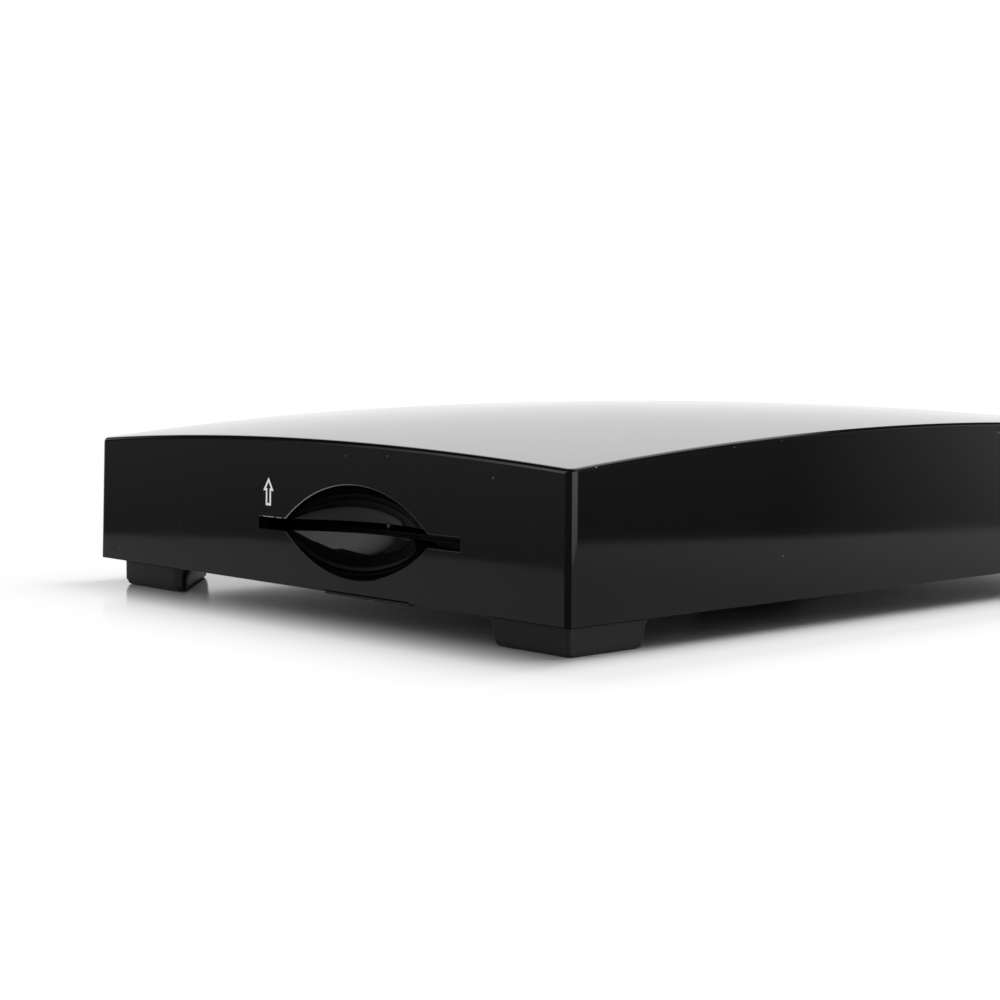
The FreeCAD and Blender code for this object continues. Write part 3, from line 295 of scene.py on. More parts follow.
def new_object(name, mesh, finish=None):
    """Object of a bmesh, which is used up, in the scene."""
    data = bpy.data.meshes.new(name)
    mesh.to_mesh(data)
    mesh.free()
    if finish:
        data.materials.append(finish)
    made = bpy.data.objects.new(name, data)
    bpy.context.scene.collection.objects.link(made)
    return made


def new_piece(name, mesh, body, finish, replaced):
    """Piece of a finished bmesh that rides on a body and stands for CAD nodes."""
    piece = new_object(name, mesh, finish)
    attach(piece, body)
    if replaced:
        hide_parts(*replaced)
    return piece


def shade_smooth(piece, angle=30):
    """Smooth shading, with edges over an angle kept sharp and flat faces kept flat."""
    for face in piece.data.polygons:
        face.use_smooth = True
    piece.data.set_sharp_from_angle(angle=math.radians(angle))
    normals = piece.modifiers.new("flat faces", "WEIGHTED_NORMAL")
    normals.keep_sharp = True


def of_kind(items, kind):
    """Those of an operator's results that are of one kind."""
    return [item for item in items if isinstance(item, kind)]


def face_outwards(mesh):
    """Turn all faces of closed bodies outwards."""
    bmesh.ops.recalc_face_normals(mesh, faces=list(mesh.faces))


def rounded(mesh, parts, radius, segments, affect="EDGES"):
    """Round edges, or the corners of a flat outline."""
    bmesh.ops.bevel(mesh, geom=parts, offset=radius, segments=segments, profile=0.5,
                    affect=affect, material=-1)


def carve(target, cutter):
    """Cut one bmesh out of another by the exact solver. Both are used up, and a new one is made."""
    bodies = [new_object("carving", mesh) for mesh in (target, cutter)]
    step = bodies[0].modifiers.new("carve", "BOOLEAN")
    step.operation = "DIFFERENCE"
    step.solver = "EXACT"
    step.object = bodies[1]
    bpy.context.view_layer.update()
    seen = bodies[0].evaluated_get(bpy.context.evaluated_depsgraph_get())
    carved = bpy.data.meshes.new_from_object(seen)
    result = bmesh.new()
    result.from_mesh(carved)
    bpy.data.meshes.remove(carved)
    for body in bodies:
        data = body.data
        bpy.data.objects.remove(body)
        bpy.data.meshes.remove(data)
    return result


def add_box(mesh, low, high):
    """Add a box between two corners. Returns its vertices."""
    low = Vector(low)
    high = Vector(high)
    place = Matrix.Translation((low + high) / 2) @ Matrix.Diagonal(high - low).to_4x4()
    return bmesh.ops.create_cube(mesh, size=1.0, matrix=place)["verts"]


def add_mesh(mesh, other):
    """Add another bmesh, which is used up."""
    data = bpy.data.meshes.new("joining")
    other.to_mesh(data)
    other.free()
    mesh.from_mesh(data)
    bpy.data.meshes.remove(data)


def turned(start, axis, profile, sides=32, turn=0.0):
    """Body of revolution. The profile lists distances along the axis with their radii."""
    start = Vector(start)
    axis = Vector(axis)
    across = Matrix.Rotation(turn, 3, axis) @ Vector((axis.y, axis.z, axis.x))
    mesh = bmesh.new()
    verts = [mesh.verts.new(start + axis * along + across * radius) for along, radius in profile]
    lines = [mesh.edges.new(pair) for pair in zip(verts, verts[1:])]
    bmesh.ops.spin(mesh, geom=verts + lines, cent=start, axis=axis, angle=2 * math.pi,
                   steps=sides, use_merge=True)
    bmesh.ops.remove_doubles(mesh, verts=list(mesh.verts), dist=0.2e-6)
    face_outwards(mesh)
    return mesh


def upright_rod(x, y, bottom, top, radius, sides):
    """Round rod between two heights."""
    length = top - bottom
    profile = [(0, 0), (0, radius), (length, radius), (length, 0)]
    return turned((x, y, bottom), (0, 0, 1), profile, sides)


def slab(low, high, steps, bottom, top):
    """Slab over a rectangle, between two surfaces that are heights over x and y."""
    mesh = bmesh.new()
    size = Vector((high[0] - low[0], high[1] - low[1], 1))
    centre = Matrix.Translation(((low[0] + high[0]) / 2, (low[1] + high[1]) / 2, 0))
    bmesh.ops.create_grid(mesh, x_segments=steps[0], y_segments=steps[1], size=0.5,
                          matrix=centre @ Matrix.Diagonal(size).to_4x4())
    under = list(mesh.verts)
    raised = bmesh.ops.extrude_face_region(mesh, geom=list(mesh.faces))["geom"]
    for vert in under:
        vert.co.z = bottom(vert.co.x, vert.co.y)
    for vert in of_kind(raised, bmesh.types.BMVert):
        vert.co.z = top(vert.co.x, vert.co.y)
    face_outwards(mesh)
    return mesh


def grow_loop(mesh, edges, outline, place):
    """Extrude a loop of edges, and put each new corner where place says for its outline point."""
    made = bmesh.ops.extrude_edge_only(mesh, edges=edges)["geom"]
    for vert in of_kind(made, bmesh.types.BMVert):
        vert.co = place(vert[outline])
    return of_kind(made, bmesh.types.BMEdge)


def close_skin(mesh, loop, outline):
    """Fill the last loop of a skin that grew from an outline, and turn its faces outwards."""
    bmesh.ops.edgeloop_fill(mesh, edges=loop)
    mesh.verts.layers.float_vector.remove(outline)
    face_outwards(mesh)


# Cover --------------------------------------------------------------------------------------

def arc_radius(chord, rise):
    """Radius of the arc that rises so far over a chord."""
    return (chord * chord / 4 + rise * rise) / (2 * rise)


def crown(x, y, drop=0.0):
    """Height of the roof, or of a surface that lies drop below it."""
    radius = arc_radius(2 * HALF.x, FRONT_RISE)
    ridge = COVER_HIGH.z - radius + math.sqrt((radius - drop) ** 2 - (x - MIDDLE.x) ** 2)
    hub = COVER_HIGH.z - arc_radius(2 * HALF.y, SIDE_RISE)
    return hub + math.sqrt((ridge - hub) ** 2 - (y - MIDDLE.y) ** 2)


def housing_skin(inset, bottom, corner, edge, corner_steps, edge_steps, side_cuts, rings):
    """Closed skin inside leaning walls: round corners, a rounded roof edge and a crowned roof."""
    mesh = bmesh.new()
    outline = mesh.verts.layers.float_vector.new("outline")
    core_x = HALF.x - inset - corner
    core_y = HALF.y - inset - corner
    plate = Matrix.Diagonal((core_x + corner, core_y + corner, 1)).to_4x4()
    corners = bmesh.ops.create_grid(mesh, x_segments=1, y_segments=1, size=1.0,
                                    matrix=plate)["verts"]
    rounded(mesh, corners, corner, corner_steps, "VERTICES")
    sides = [line for line in mesh.edges if line.calc_length() > 10 * corner]
    bmesh.ops.subdivide_edges(mesh, edges=sides, cuts=side_cuts)

    def wall(point, height):
        """The outline's point at one height of the leaning wall."""
        lean = (height - COVER_LOW.z) * LEAN
        x, y = point.x, point.y
        if abs(x) > core_x - ON_LINE:
            x -= math.copysign(lean, x)
        if abs(y) > core_y - ON_LINE:
            y -= math.copysign(lean, y)
        return Vector((MIDDLE.x + x, MIDDLE.y + y, height))

    def inwards(point):
        """Direction from the outline's point to the middle of its corner, or straight in."""
        anchor = Vector((max(-core_x, min(core_x, point.x)), max(-core_y, min(core_y, point.y)), 0))
        return (anchor - point).normalized()

    def roof_edge(point, turn):
        """The outline's point on the edge's round, from 0 at the wall to a right angle."""
        foot = wall(point, bottom)
        for _ in range(3):  # the height and the lean settle in three steps
            foot = wall(point, crown(foot.x, foot.y, inset) - edge)
        moved = foot + inwards(point) * (edge * (1 - math.cos(turn)))
        height = crown(moved.x, moved.y, inset) - edge * (1 - math.sin(turn))
        return Vector((moved.x, moved.y, height))

    def roof(point, scale):
        """The outline's point on the roof, drawn in towards the middle."""
        edge_point = roof_edge(point, RIGHT_ANGLE)
        x = MIDDLE.x + (edge_point.x - MIDDLE.x) * scale
        y = MIDDLE.y + (edge_point.y - MIDDLE.y) * scale
        return Vector((x, y, crown(x, y, inset)))

    for vert in mesh.verts:
        vert[outline] = vert.co
        vert.co = wall(vert[outline], bottom)
    loop = list(mesh.edges)
    for step in range(edge_steps + 1):
        turn = RIGHT_ANGLE * step / edge_steps
        loop = grow_loop(mesh, loop, outline, lambda point: roof_edge(point, turn))
    for ring in range(1, rings + 1):
        scale = 1 - ring / (rings + 1)
        loop = grow_loop(mesh, loop, outline, lambda point: roof(point, scale))
    close_skin(mesh, loop, outline)
    return mesh


def scoop_radius(y, thickness=0.0):
    """Radius of the scoop's section at one place along the slot, or zero past its tips."""
    outline = SCOOP_OUTLINE_RADIUS + thickness
    along = abs(y - SLOT_Y)
    if along >= outline:
        return 0.0
    sagitta = math.sqrt(outline * outline - along * along) - SCOOP_OUTLINE_RADIUS
    return max(0.0, sagitta + SCOOP_DEPTH)


def scoop_section(radius, rim, row):
    """Depth and height of one row across half the scoop, from the wall to the slot's end."""
    over = radius + rim
    height = math.sqrt(over * over - rim * rim)
    in_scoop = height * radius / over > SLOT_HALF_HEIGHT
    if not in_scoop:
        height = SLOT_HALF_HEIGHT + rim
    if row < 0:
        return 0.0, height + RIM_BAND
    first = math.atan2(height, rim) if in_scoop else RIGHT_ANGLE
    if row <= RIM_ROWS:
        turn = first * row / RIM_ROWS
        return rim * (1 - math.cos(turn)), height - rim * math.sin(turn)
    if not in_scoop:
        depth = rim + (SLOT_DEPTH - rim) * (row - RIM_ROWS) / (SCOOP_ROWS + 1)
        return depth, SLOT_HALF_HEIGHT
    if row > RIM_ROWS + SCOOP_ROWS:
        return SLOT_DEPTH, SLOT_HALF_HEIGHT
    share = (row - RIM_ROWS) / SCOOP_ROWS
    turn = first + (math.asin(SLOT_HALF_HEIGHT / radius) - first) * share
    return radius * math.cos(turn), radius * math.sin(turn)


def half_scoop(mesh, side, rim):
    """Upper or lower half of scoop and slot. Returns its corners by station and row, the first
    row, -1, on the wall."""
    rows = RIM_ROWS + SCOOP_ROWS + 2
    made = bmesh.ops.create_grid(mesh, x_segments=SCOOP_STATIONS, y_segments=rows,
                                 size=0.5)["verts"]
    corners = {}
    for vert in made:
        station = round((vert.co.x + 0.5) * SCOOP_STATIONS)
        row = round((vert.co.y + 0.5) * rows) - 1
        corners[station, row] = vert
        y = SLOT_Y + SLOT_LENGTH * (station / SCOOP_STATIONS - 0.5)
        depth, height = scoop_section(scoop_radius(y), rim, row)
        z = SLOT_Z + side * height
        vert.co = (COVER_LOW.x + (z - COVER_LOW.z) * LEAN + depth, y, z)
    return corners


def slot_and_scoop(mesh, rim):
    """Both halves of the scoop with the slot's ends. Returns the edges that lie on the wall."""
    halves = (half_scoop(mesh, 1, rim), half_scoop(mesh, -1, rim))
    last = RIM_ROWS + SCOOP_ROWS + 1
    stations = range(SCOOP_STATIONS)
    around = []
    for station in (0, SCOOP_STATIONS):
        column = [mesh.edges.get((half[station, row], half[station, row + 1]))
                  for half in halves for row in range(last)]
        end = mesh.edges.new([half[station, 0] for half in halves])
        inner = mesh.edges.new([half[station, last] for half in halves])
        bmesh.ops.contextual_create(mesh, geom=column + [end, inner])
        around.append(end)
        around += [mesh.edges.get((half[station, -1], half[station, 0])) for half in halves]
    back = [mesh.edges.get((half[place, last], half[place + 1, last]))
            for half in halves for place in stations]
    bmesh.ops.bridge_loops(mesh, edges=back)
    return around + [mesh.edges.get((half[place, -1], half[place + 1, -1]))
                     for half in halves for place in stations]


def outer_skin(cover):
    """Outside of the cover as a closed body, with scoop and slot sunk in its left wall."""
    mesh = housing_skin(inset=0, bottom=COVER_LOW.z, corner=cover.corner_round,
                        edge=cover.edge_round, corner_steps=8, edge_steps=5, side_cuts=47,
                        rings=22)
    left_wall = [face for face in mesh.faces if face.normal.x < LEFT_FACING]
    edges = {edge for face in left_wall for edge in face.edges}
    bmesh.ops.delete(mesh, geom=left_wall, context="FACES_ONLY")
    loose = [edge for edge in edges if not edge.link_faces]
    bmesh.ops.delete(mesh, geom=loose, context="EDGES")
    around = [edge for edge in mesh.edges if edge.is_boundary]
    rim = slot_and_scoop(mesh, cover.rim_round)
    bmesh.ops.triangle_fill(mesh, edges=around + rim, use_beauty=True, normal=(-1, 0, 0))
    face_outwards(mesh)
    return mesh


def scoop_back():
    """Back of the scoop: a spindle of revolution, cut off flat inside the wall."""
    steps = 48
    outer = SCOOP_OUTLINE_RADIUS + SCOOP_WALL
    reach = math.sqrt(outer ** 2 - (SCOOP_OUTLINE_RADIUS - SCOOP_DEPTH) ** 2)
    along = [reach * (2 * step / steps - 1) for step in range(steps + 1)]
    profile = [(y, scoop_radius(SLOT_Y + y, SCOOP_WALL)) for y in along]
    axis_x = COVER_LOW.x + (SLOT_Z - COVER_LOW.z) * LEAN
    mesh = turned((axis_x, SLOT_Y, SLOT_Z), (0, 1, 0), profile, 64)
    everything = list(mesh.verts) + list(mesh.edges) + list(mesh.faces)
    cut = bmesh.ops.bisect_plane(
        mesh, geom=everything, dist=1e-8, plane_co=(COVER_LOW.x + WALL / 2, 0, 0),
        plane_no=(-1, 0, 0), clear_outer=True)["geom_cut"]
    bmesh.ops.holes_fill(mesh, edges=of_kind(cut, bmesh.types.BMEdge))
    return mesh


def roof_rib(x):
    """Rib under the roof, from front to rear."""
    return slab((x - RIB_HALF_WIDTH, COVER_LOW.y + RIB_FRONT_GAP),
                (x + RIB_HALF_WIDTH, COVER_HIGH.y - RIB_REAR_GAP), (1, 16),
                lambda a, b: crown(a, b, WALL + RIB_DEPTH), lambda a, b: crown(a, b, WALL / 2))


def display_post(x, z, board_front, board_rear):
    """Square post on the front wall, with a pin through the display board and a staked head."""
    start = COVER_LOW.y + WALL / 2
    front = board_front - start
    rear = board_rear - start
    end = rear + STAKE_THICKNESS
    sides = [(0, 0), (0, POST_SIDE), (front, POST_SIDE), (front, PIN_SIDE), (rear, PIN_SIDE),
             (rear, STAKE_SIDE), (end, STAKE_SIDE), (end, 0)]
    profile = [(along, side / math.sqrt(2)) for along, side in sides]
    return turned((x, start, z), (0, 1, 0), profile, 4, math.pi / 4)


def inner_parts():
    """What stands inside the cover: the scoop's back, screw bosses, roof ribs, display posts."""
    mesh = scoop_back()
    for x, y in screw_places():
        add_mesh(mesh, upright_rod(x, y, BOSS_BOTTOM, crown(x, y, WALL / 2), BOSS_RADIUS, 24))
    for offset in RIB_PLACES:
        add_mesh(mesh, roof_rib(MIDDLE.x + offset))
    low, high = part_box("display_board")
    for x, z in ((low.x + LOW_POST[0], low.z + LOW_POST[1]),
                 (high.x - HIGH_POST[0], high.z - HIGH_POST[1])):
        add_mesh(mesh, display_post(x, z, low.y, high.y))
    return mesh


def screw_places():
    """Where the four case screws stand, from their box, which touches the flats of round heads
    drawn with twelve sides."""
    low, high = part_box("case_screws")
    head = HEAD_RADIUS * math.cos(math.pi / 12)
    return [(x, y) for x in (low.x + head, high.x - head) for y in (low.y + head, high.y - head)]


def shown_box(name, lip):
    """Corners of what shows in an opening: its node's box less the flange behind the wall."""
    low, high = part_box(name)
    return Vector((low.x + lip, low.y, low.z + lip)), Vector((high.x - lip, high.y, high.z - lip))


def round_bar(mesh, low, high, play, radius, segments):
    """Bar through the front wall whose long edges are round."""
    verts = add_box(mesh, (low.x - play, COVER_LOW.y - OVERCUT, low.z - play),
                    (high.x + play, COVER_LOW.y + 2 * WALL, high.z + play))
    edges = {edge for vert in verts for edge in vert.link_edges}
    along = [edge for edge in edges if abs(edge.verts[0].co.y - edge.verts[1].co.y) > WALL]
    rounded(mesh, along, radius, segments)


def cover_openings():
    """What is cut out of the walls besides the scoop."""
    mesh = bmesh.new()
    low, high = shown_box("display_window", WINDOW_LIP)
    round_bar(mesh, low, high, 0, WINDOW_ROUND, 6)
    for name in BUTTONS:
        low, high = shown_box(name, BUTTON_LIP)
        radius = (high.z - low.z) / 2 + BUTTON_PLAY - BUTTON_FLAT
        round_bar(mesh, low, high, BUTTON_PLAY, radius, 12)
    start = COVER_LOW.y + NOTCH_START
    end = COVER_LOW.y + NOTCH_END
    top = COVER_LOW.z + NOTCH_HEIGHT
    reach = WALL + OVERCUT
    add_box(mesh, (COVER_LOW.x - OVERCUT, start, 0), (COVER_LOW.x + reach, end, top))
    add_box(mesh, (COVER_HIGH.x - reach, start, 0), (COVER_HIGH.x + OVERCUT, end, top))
    for x, y in screw_places():
        add_mesh(mesh, upright_rod(x, y, 0, SCREW_HOLE_TOP, SCREW_HOLE_RADIUS, 16))
    add_mesh(mesh, slab((COVER_LOW.x + REAR_FRAME, COVER_HIGH.y - 2 * WALL),
                        (COVER_HIGH.x - REAR_FRAME, COVER_HIGH.y + OVERCUT), (40, 1),
                        lambda x, y: 0.0, lambda x, y: crown(x, y, WALL + REAR_LINTEL)))
    return mesh


class RECEIVER_OT_cover(bpy.types.Operator):
    """Mould the cover: walls, crowned roof, finger scoop, slot and openings"""
    bl_idname = "receiver.cover"
    bl_label = "Cover"

    def execute(self, context):
        cavity = housing_skin(inset=WALL, bottom=COVER_LOW.z - OVERCUT, corner=CAVITY_CORNER,
                              edge=CAVITY_EDGE, corner_steps=1, edge_steps=1, side_cuts=15,
                              rings=8)
        cavity = carve(cavity, inner_parts())
        shell = carve(outer_skin(settings().cover), cavity)
        shell = carve(shell, cover_openings())
        piece = new_piece("gloss_cover", shell, HOUSING, gloss_black_abs(), ["cover"])
        shade_smooth(piece)
        return {"FINISHED"}


# Feet ---------------------------------------------------------------------------------------

def foot_mesh(foot, top, front_leg, side_leg, side_round, flare_rise):
    """Foot with its square corner at the origin: soft sole, upright sides and a flared head."""
    mesh = bmesh.new()
    outline = mesh.verts.layers.float_vector.new("outline")
    corners = [mesh.verts.new(co) for co in ((0, 0, 0), (front_leg, 0, 0), (0, side_leg, 0))]
    bmesh.ops.contextual_create(mesh, geom=corners)
    rounded(mesh, corners[1:2], FOOT_TIP_ROUND, 4, "VERTICES")
    tip = [vert for vert in mesh.verts if vert.co.y > side_leg - ON_LINE]
    rounded(mesh, tip, side_round, 6, "VERTICES")
    square = [vert for vert in mesh.verts if vert.co.length < ON_LINE]
    rounded(mesh, square, FOOT_CORNER_ROUND, 5, "VERTICES")
    sides = [edge for edge in mesh.edges if edge.calc_length() > FOOT_LONG_SIDE]
    bmesh.ops.subdivide_edges(mesh, edges=sides, cuts=7)
    slant = Vector((side_leg, front_leg, 0)).normalized()
    reach = slant.x * front_leg
    centre = Vector((front_leg, side_leg, 0)) / 3

    def level(height, inset, flare):
        """Function that puts the outline's points at a height, drawn in all round and let out on
        the slanting side."""
        def place(point):
            towards = centre - point
            near = max(0.0, 1 - (reach - slant.dot(point)) / FOOT_SLANT_BAND)
            outwards = Vector((point.x / front_leg, point.y / side_leg, 0)).normalized()
            drawn = point + towards * (inset / min(reach / 2, towards.length))
            moved = drawn + outwards * (flare * near)
            return Vector((moved.x, moved.y, height))
        return place

    turns = [RIGHT_ANGLE * step / FOOT_STEPS for step in range(FOOT_STEPS + 1)]
    flare_height = flare_rise * foot.flare
    levels = [level(foot.sole_round * (1 - math.cos(turn)),
                    FOOT_TAPER + foot.sole_round * (1 - math.sin(turn)), 0.0) for turn in turns]
    levels += [level(top - flare_height * (1 - math.sin(turn)), 0.0,
                     foot.flare * (1 - math.cos(turn))) for turn in turns]
    for vert in mesh.verts:
        vert[outline] = vert.co
        vert.co = levels[0](vert[outline])
    loop = list(mesh.edges)
    for place in levels[1:]:
        loop = grow_loop(mesh, loop, outline, place)
    close_skin(mesh, loop, outline)
    return mesh


class RECEIVER_OT_feet(bpy.types.Operator):
    """Mould the four corner feet with their soft soles and flared heads"""
    bl_idname = "receiver.feet"
    bl_label = "Feet"

    def execute(self, context):
        low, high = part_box("feet")
        mesh = bmesh.new()
        for sign_x, x in ((1, low.x), (-1, high.x)):
            for sign_y, y, shape in ((1, low.y, FRONT_FOOT), (-1, high.y, REAR_FOOT)):
                one = foot_mesh(settings().feet, COVER_LOW.z - FOOT_HEAD_GAP, **shape)
                turn = Matrix.Diagonal((sign_x, sign_y, 1, 1))
                one.transform(Matrix.Translation((x, y, 0)) @ turn)
                if sign_x * sign_y < 0:
                    bmesh.ops.reverse_faces(one, faces=list(one.faces))
                add_mesh(mesh, one)
        tray_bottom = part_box("base_tray")[0].z
        tray = bmesh.new()
        add_box(tray, (COVER_LOW.x + TRAY_INSET, COVER_LOW.y + TRAY_INSET, tray_bottom),
                (COVER_HIGH.x - TRAY_INSET, COVER_HIGH.y, COVER_LOW.z + OVERCUT))
        mesh = carve(mesh, tray)
        piece = new_piece("corner_feet", mesh, HOUSING, satin_black_abs(), ["feet"])
        shade_smooth(piece)
        return {"FINISHED"}


# Print --------------------------------------------------------------------------------------

class RECEIVER_OT_arrow(bpy.types.Operator):
    """Print the outlined arrow that shows which way a card goes in"""
    bl_idname = "receiver.arrow"
    bl_label = "Arrow"

    def execute(self, context):
        arrow = settings().arrow
        half_head = arrow.width / 2
        shoulder = arrow.height - ARROW_HEAD
        points = [(0, arrow.height), (-half_head, shoulder), (-ARROW_HALF_STEM, shoulder),
                  (-ARROW_HALF_STEM, 0), (ARROW_HALF_STEM, 0), (ARROW_HALF_STEM, shoulder),
                  (half_head, shoulder)]
        mesh = bmesh.new()
        corners = [mesh.verts.new((0, y, z)) for y, z in points]
        around = [mesh.edges.new(pair) for pair in zip(corners, corners[1:] + corners[:1])]
        whole = bmesh.ops.edgeloop_fill(mesh, edges=around)["faces"]
        bmesh.ops.inset_region(mesh, faces=whole, thickness=arrow.stroke, depth=0,
                               use_even_offset=True, use_boundary=True)
        bmesh.ops.delete(mesh, geom=whole, context="FACES_ONLY")
        raised = bmesh.ops.extrude_face_region(mesh, geom=list(mesh.faces))["geom"]
        for vert in of_kind(raised, bmesh.types.BMVert):
            vert.co.x -= INK_THICKNESS
        face_outwards(mesh)
        for vert in mesh.verts:
            z = ARROW_Z + vert.co.z
            x = COVER_LOW.x + (z - COVER_LOW.z) * LEAN + vert.co.x + INK_SUNK
            vert.co = (x, ARROW_Y + vert.co.y, z)
        new_piece("card_arrow", mesh, HOUSING, printed_ink(), [])
        return {"FINISHED"}


# Card ball ----------------------------------------------------------------------------------

class RECEIVER_OT_ball(bpy.types.Operator):
    """Turn the sprung pin with a ball end that steadies a card in its slot"""
    bl_idname = "receiver.ball"
    bl_label = "Card ball"

    def execute(self, context):
        steps = 6
        turns = [RIGHT_ANGLE * step / steps for step in range(steps + 1)]
        tip = [(BALL_NECK + BALL_RADIUS * math.sin(turn), BALL_RADIUS * math.cos(turn))
               for turn in turns]
        mesh = turned(BALL_FOOT, (0, 0, -1), [(0, 0), (0, BALL_RADIUS)] + tip, 16)
        piece = new_piece("card_ball", mesh, HOUSING, bpy.data.materials["black_zinc_screw"], [])
        shade_smooth(piece)
        return {"FINISHED"}


# Threads ------------------------------------------------------------------------------------

def barrel(centre_x, centre_z, start, end, thread):
    """Aerial socket along y: hexagon seat, plain root, threaded barrel and its insulator's bore."""
    length = end - start
    bore_start = length - BORE_DEPTH
    last = length - THREAD_END_GAP
    profile = [(ROOT_START, 0), (ROOT_START, ROOT_RADIUS), (ROOT_END, ROOT_RADIUS),
               (ROOT_END, CREST_RADIUS)]
    profile += [(THREAD_START + (last - THREAD_START) * row / THREAD_ROWS, CREST_RADIUS)
                for row in range(THREAD_ROWS + 1)]
    profile += [(length, CREST_RADIUS - CREST_TAPER), (length, BORE_RADIUS),
                (bore_start, BORE_RADIUS), (bore_start, 0)]
    mesh = turned((centre_x, start, centre_z), (0, 1, 0), profile, 64)
    for vert in mesh.verts:
        across = Vector((vert.co.x - centre_x, 0, vert.co.z - centre_z))
        along = vert.co.y - start
        if abs(across.length - CREST_RADIUS) > CREST_TOLERANCE or along <= ROOT_END:
            continue
        turns = along / thread.pitch - math.atan2(across.z, across.x) / (2 * math.pi)
        tooth = abs(2 * (turns % 1) - 1)
        fade = min(1, max(0, (along - THREAD_START) / RUN_IN), max(0, (last - along) / RUN_OUT))
        vert.co -= across.normalized() * (thread.depth * tooth * fade)
    seat = Matrix.Translation((centre_x, start + SEAT_THICKNESS / 2, centre_z))
    seat = seat @ Matrix.Rotation(RIGHT_ANGLE, 4, "X") @ Matrix.Rotation(math.pi / 6, 4, "Z")
    radius = SEAT_ACROSS_FLATS / math.sqrt(3)
    made = bmesh.ops.create_cone(mesh, cap_ends=True, segments=6, radius1=radius, radius2=radius,
                                 depth=SEAT_THICKNESS, matrix=seat)["verts"]
    rounded(mesh, list({edge for vert in made for edge in vert.link_edges}), SEAT_ROUND, 2)
    return mesh


class RECEIVER_OT_barrels(bpy.types.Operator):
    """Cut the aerial sockets with their threads"""
    bl_idname = "receiver.barrels"
    bl_label = "Aerial sockets"

    def execute(self, context):
        for name in ("lnb_in_connector", "lnb_out_connector"):
            low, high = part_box(name)
            middle = (low + high) / 2
            mesh = barrel(middle.x, middle.z, low.y, high.y, settings().thread)
            piece = new_piece("threaded_" + name, mesh, HOUSING,
                              bpy.data.materials["nickel_plate"], [name])
            shade_smooth(piece, 40)
        return {"FINISHED"}


# Screws -------------------------------------------------------------------------------------

class RECEIVER_OT_screws(bpy.types.Operator):
    """Form the case screws: pan heads with a cross recess"""
    bl_idname = "receiver.screws"
    bl_label = "Case screws"

    def execute(self, context):
        low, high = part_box("case_screws")
        length = high.z - low.z
        profile = [(along * MM, radius * MM) for along, radius in HEAD_PROFILE]
        profile += [(SHANK_TOP, SHANK_RADIUS), (length - POINT_LENGTH, SHANK_RADIUS),
                    (length, POINT_RADIUS), (length, 0)]
        mesh = bmesh.new()
        for x, y in screw_places():
            add_mesh(mesh, turned((x, y, low.z), (0, 0, 1), profile, 32))
        for reach_x, reach_y in ((CROSS_REACH, CROSS_HALF_WIDTH), (CROSS_HALF_WIDTH, CROSS_REACH)):
            slots = bmesh.new()
            for x, y in screw_places():
                add_box(slots, (x - reach_x, y - reach_y, low.z - OVERCUT),
                        (x + reach_x, y + reach_y, low.z + CROSS_DEPTH))
            mesh = carve(mesh, slots)
        piece = new_piece("cross_head_screws", mesh, HOUSING,
                          bpy.data.materials["black_zinc_screw"], ["case_screws"])
        shade_smooth(piece)
        return {"FINISHED"}


# Finishes -----------------------------------------------------------------------------------

def fresh_tree(owner):
    """Empty node tree of a material or world."""
    owner.use_nodes = True
    owner.node_tree.nodes.clear()
    return owner.node_tree


def feed(tree, target, sockets):
    """Give each of a node's inputs a value or the socket that feeds it."""
    for key, value in sockets.items():
        if isinstance(value, bpy.types.NodeSocket):
            tree.links.new(value, target.inputs[key])
        else:
            target.inputs[key].default_value = value


def node(tree, kind, sockets=None, **options):
    """Add a node with its options and inputs."""
    added = tree.nodes.new(kind)
    for key, value in options.items():
        setattr(added, key, value)
    feed(tree, added, sockets or {})
    return added


def formula(tree, operation, *values):
    """Result of a sum or other formula of numbers."""
    return node(tree, "ShaderNodeMath", dict(enumerate(values)), operation=operation).outputs[0]


def vector_formula(tree, operation, *values):
    """Result of a formula of vectors, which is a number for a length or a dot product."""
    made = node(tree, "ShaderNodeVectorMath", dict(enumerate(values)), operation=operation)
    return made.outputs["Value" if operation in ("LENGTH", "DOT_PRODUCT") else "Vector"]


def axes(tree, vector):
    """The three parts of a vector, by their names."""
    return node(tree, "ShaderNodeSeparateXYZ", {"Vector": vector}).outputs


def graded(tree, value, span, ends, **options):
    """Number that runs between two ends while the value runs over a span."""
    return node(tree, "ShaderNodeMapRange", {
        "Value": value, "From Min": span[0], "From Max": span[1], "To Min": ends[0],
        "To Max": ends[1]}, **options).outputs["Result"]


def between(tree, share, first, second):
    """Number between two others, by a share."""
    return node(tree, "ShaderNodeMix", {0: share, 2: first, 3: second},
                data_type="FLOAT").outputs[0]


def tinted(tree, share, first, second):
    """Colour between two others, by a share."""
    return node(tree, "ShaderNodeMix", {"Factor": share, "A": first, "B": second},
                data_type="RGBA").outputs["Result"]


def noise(tree, place, size, detail=2):
    """Soft noise whose cells are of one size."""
    return node(tree, "ShaderNodeTexNoise", {"Vector": place, "Scale": 1 / size,
                                              "Detail": detail}).outputs["Fac"]


def dots(tree, place, spacing, edge):
    """Round dots, scattered at a spacing, that fade over an edge given in shares of it."""
    cells = node(tree, "ShaderNodeTexVoronoi", {"Vector": place, "Scale": 1 / spacing})
    return graded(tree, cells.outputs["Distance"], edge, (1, 0))


def bumped(tree, height, depth):
    """Normal of a surface with a relief of some depth."""
    return node(tree, "ShaderNodeBump", {"Height": height, "Distance": depth,
                                          "Strength": 1}).outputs["Normal"]


def scaled(colour, factor):
    """Colour made darker or lighter, and opaque."""
    return tuple(min(1, channel * factor) for channel in colour[:3]) + (1,)


